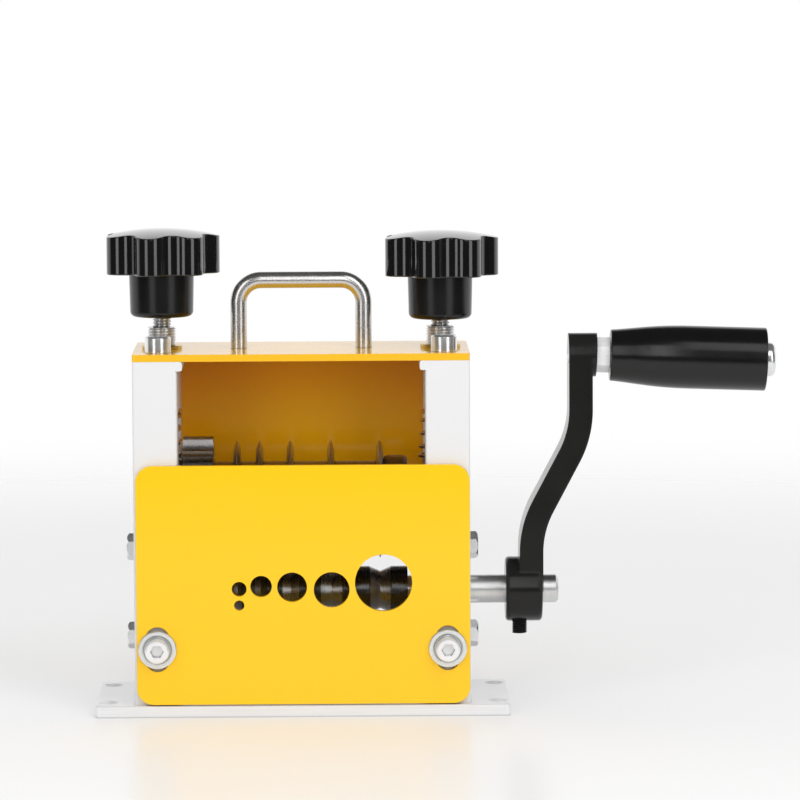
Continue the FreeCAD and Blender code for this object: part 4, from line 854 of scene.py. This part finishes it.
class STRIPPER_OT_threads(PieceOperator):
    """Cut the threads of the knob screws, their bushes and the set screw"""

    bl_idname = "stripper.threads"
    bl_label = "Threads"

    def make(self, scene):
        threads = scene.stripper_threads
        steel = plated("thread_steel", (0.88, 0.885, 0.89), 0.2, 0.9)
        flange_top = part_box("top_plate")[1].z + threads.bush_flange
        bush_steel = plated("bush_steel", (0.88, 0.885, 0.89), 0.22, 0.8, flange_top)
        for side in SIDES:
            node = side + "_screw_bush"
            bush = self.bush(side + "_threaded_bush", node, threads)
            finish_piece(bush, bush_steel)
            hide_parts(node)
            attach(bush, "frame")
            node = side + "_adjusting_screw"
            low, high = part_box(node)
            screw = self.threaded(side + "_knob_screw", threads.knob_diameter, threads.knob_pitch,
                                  high.z - low.z)
            put(screw, (middle(node).x, middle(node).y, low.z))
            foot = self.foot(node)
            screw = join([screw, foot])
            finish_piece(screw, steel)
            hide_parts(node)
            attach(screw, side + "_knob_screw")
        node = "crank_set_screw"
        low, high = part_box(node)
        screw = self.threaded("hub_set_screw", high.x - low.x, threads.set_screw_pitch,
                              high.z - low.z)
        put(screw, (middle(node).x, middle(node).y, low.z))
        finish_piece(screw, oxide_black())
        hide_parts(node)
        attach(screw, "crank_rotor")

    def bush(self, name, node, threads):
        """A flanged bush, threaded above its flange and bored for the knob screw."""
        low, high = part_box(node)
        plate_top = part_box("top_plate")[1].z - low.z
        flange_top = plate_top + threads.bush_flange
        inner, outer, rim = threads.bush_bore / 2, threads.bush_diameter / 2, (high.x - low.x) / 2
        length = high.z - low.z - flange_top
        thread = self.threaded(name, threads.bush_diameter, threads.bush_pitch, length)
        bore(thread, inner, length)
        put(thread, (0, 0, flange_top))
        body = trace("body", (
            (inner, 0, 0), (outer, 0, 0), (outer, 0, plate_top), (rim, 0, plate_top),
            (rim, 0, flange_top - RIM_BEVEL), (rim - RIM_BEVEL, 0, flange_top),
            (inner, 0, flange_top), (inner, 0, 0)))
        lathe(body)
        tidy(body)
        bush = join([thread, body])
        put(bush, (middle(node).x, middle(node).y, low.z))
        return bush

    def foot(self, node):
        """The round foot that the bearing block holds."""
        low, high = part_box(node)
        deselect()
        place = (middle(node).x, middle(node).y, low.z + SCREW_FOOT_HEIGHT / 2)
        bpy.ops.mesh.primitive_cylinder_add(vertices=FOOT_FACETS, radius=(high.x - low.x) / 2,
                                            depth=SCREW_FOOT_HEIGHT, location=place)
        foot = bpy.context.object
        bpy.ops.object.transform_apply(location=True)
        rim = foot.modifiers.new("Rim", "BEVEL")
        rim.width = RIM_BEVEL
        rim.segments = 2
        rim.limit_method = "ANGLE"
        apply_modifiers(foot)
        tidy(foot)
        return foot

    def threaded(self, name, diameter, pitch, length):
        """A bar with a full thread, cut square at both ends."""
        crest = diameter / 2
        root = crest - THREAD_DEPTH * pitch
        points = [(crest if on_crest else root, 0, height * pitch)
                  for height, on_crest in THREAD_PROFILE]
        bar = trace(name, points)
        wind(bar, pitch, int(length / pitch) + SPARE_TURNS, THREAD_STEPS)
        edit(bar)
        bpy.ops.mesh.remove_doubles(threshold=WELD)
        for height, keep_above in ((0.0, True), (length, False)):
            bpy.ops.mesh.select_all(action="SELECT")
            bpy.ops.mesh.bisect(plane_co=(0, 0, height), plane_no=(0, 0, 1), use_fill=True,
                                clear_inner=keep_above, clear_outer=not keep_above,
                                threshold=CUT_TOLERANCE)
        close_edit()
        tidy(bar, smooth_angle=30.0)
        return bar


class STRIPPER_OT_crank(PieceOperator):
    """Paint the crank and finish its grip and the knobs"""

    bl_idname = "stripper.crank"
    bl_label = "Crank, grip and knobs"

    def make(self, scene):
        paint = scene.stripper_paint
        dress(cast_black(paint.crank_black), "crank_arm")
        dress(moulded_black("grip_plastic", paint.handle_black, 0.14), "handle_grip")
        for side in SIDES:
            node = side + "_knob"
            polish_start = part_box(node)[0].z + KNOB_POLISH_HEIGHT
            dress(moulded_black(node + "_plastic", paint.handle_black, 0.17, polish_start), node)


class STRIPPER_PT_panel(bpy.types.Panel):
    """The stripper's operators and settings in the sidebar"""

    bl_idname = "STRIPPER_PT_panel"
    bl_label = "Wire stripper"
    bl_space_type = "VIEW_3D"
    bl_region_type = "UI"
    bl_category = "Wire stripper"

    def draw(self, context):
        for operator in OPERATORS:
            self.layout.operator(operator.bl_idname)
        for name, group in GROUPS.items():
            box = self.layout.box()
            for setting in group.__annotations__:
                box.prop(getattr(context.scene, name), setting)


GROUPS = {
    "stripper_paint": StripperPaint,
    "stripper_springs": StripperSprings,
    "stripper_threads": StripperThreads,
    "stripper_view": StripperView,
}
OPERATORS = (
    STRIPPER_OT_stage,
    STRIPPER_OT_plates,
    STRIPPER_OT_frames,
    STRIPPER_OT_shafts,
    STRIPPER_OT_fasteners,
    STRIPPER_OT_springs,
    STRIPPER_OT_threads,
    STRIPPER_OT_crank,
)


def register():
    """Registers the settings, the operators and the panel."""
    for name, group in GROUPS.items():
        bpy.utils.register_class(group)
        setattr(bpy.types.Scene, name, bpy.props.PointerProperty(type=group))
    for operator in OPERATORS:
        bpy.utils.register_class(operator)
    bpy.utils.register_class(STRIPPER_PT_panel)


def unregister():
    """Takes away what register() added."""
    bpy.utils.unregister_class(STRIPPER_PT_panel)
    for operator in reversed(OPERATORS):
        bpy.utils.unregister_class(operator)
    for name, group in reversed(GROUPS.items()):
        delattr(bpy.types.Scene, name)
        bpy.utils.unregister_class(group)


def main():
    register()
    for operator in OPERATORS:
        family, name = operator.bl_idname.split(".")
        getattr(getattr(bpy.ops, family), name)()


if __name__ == "__main__":
    main()
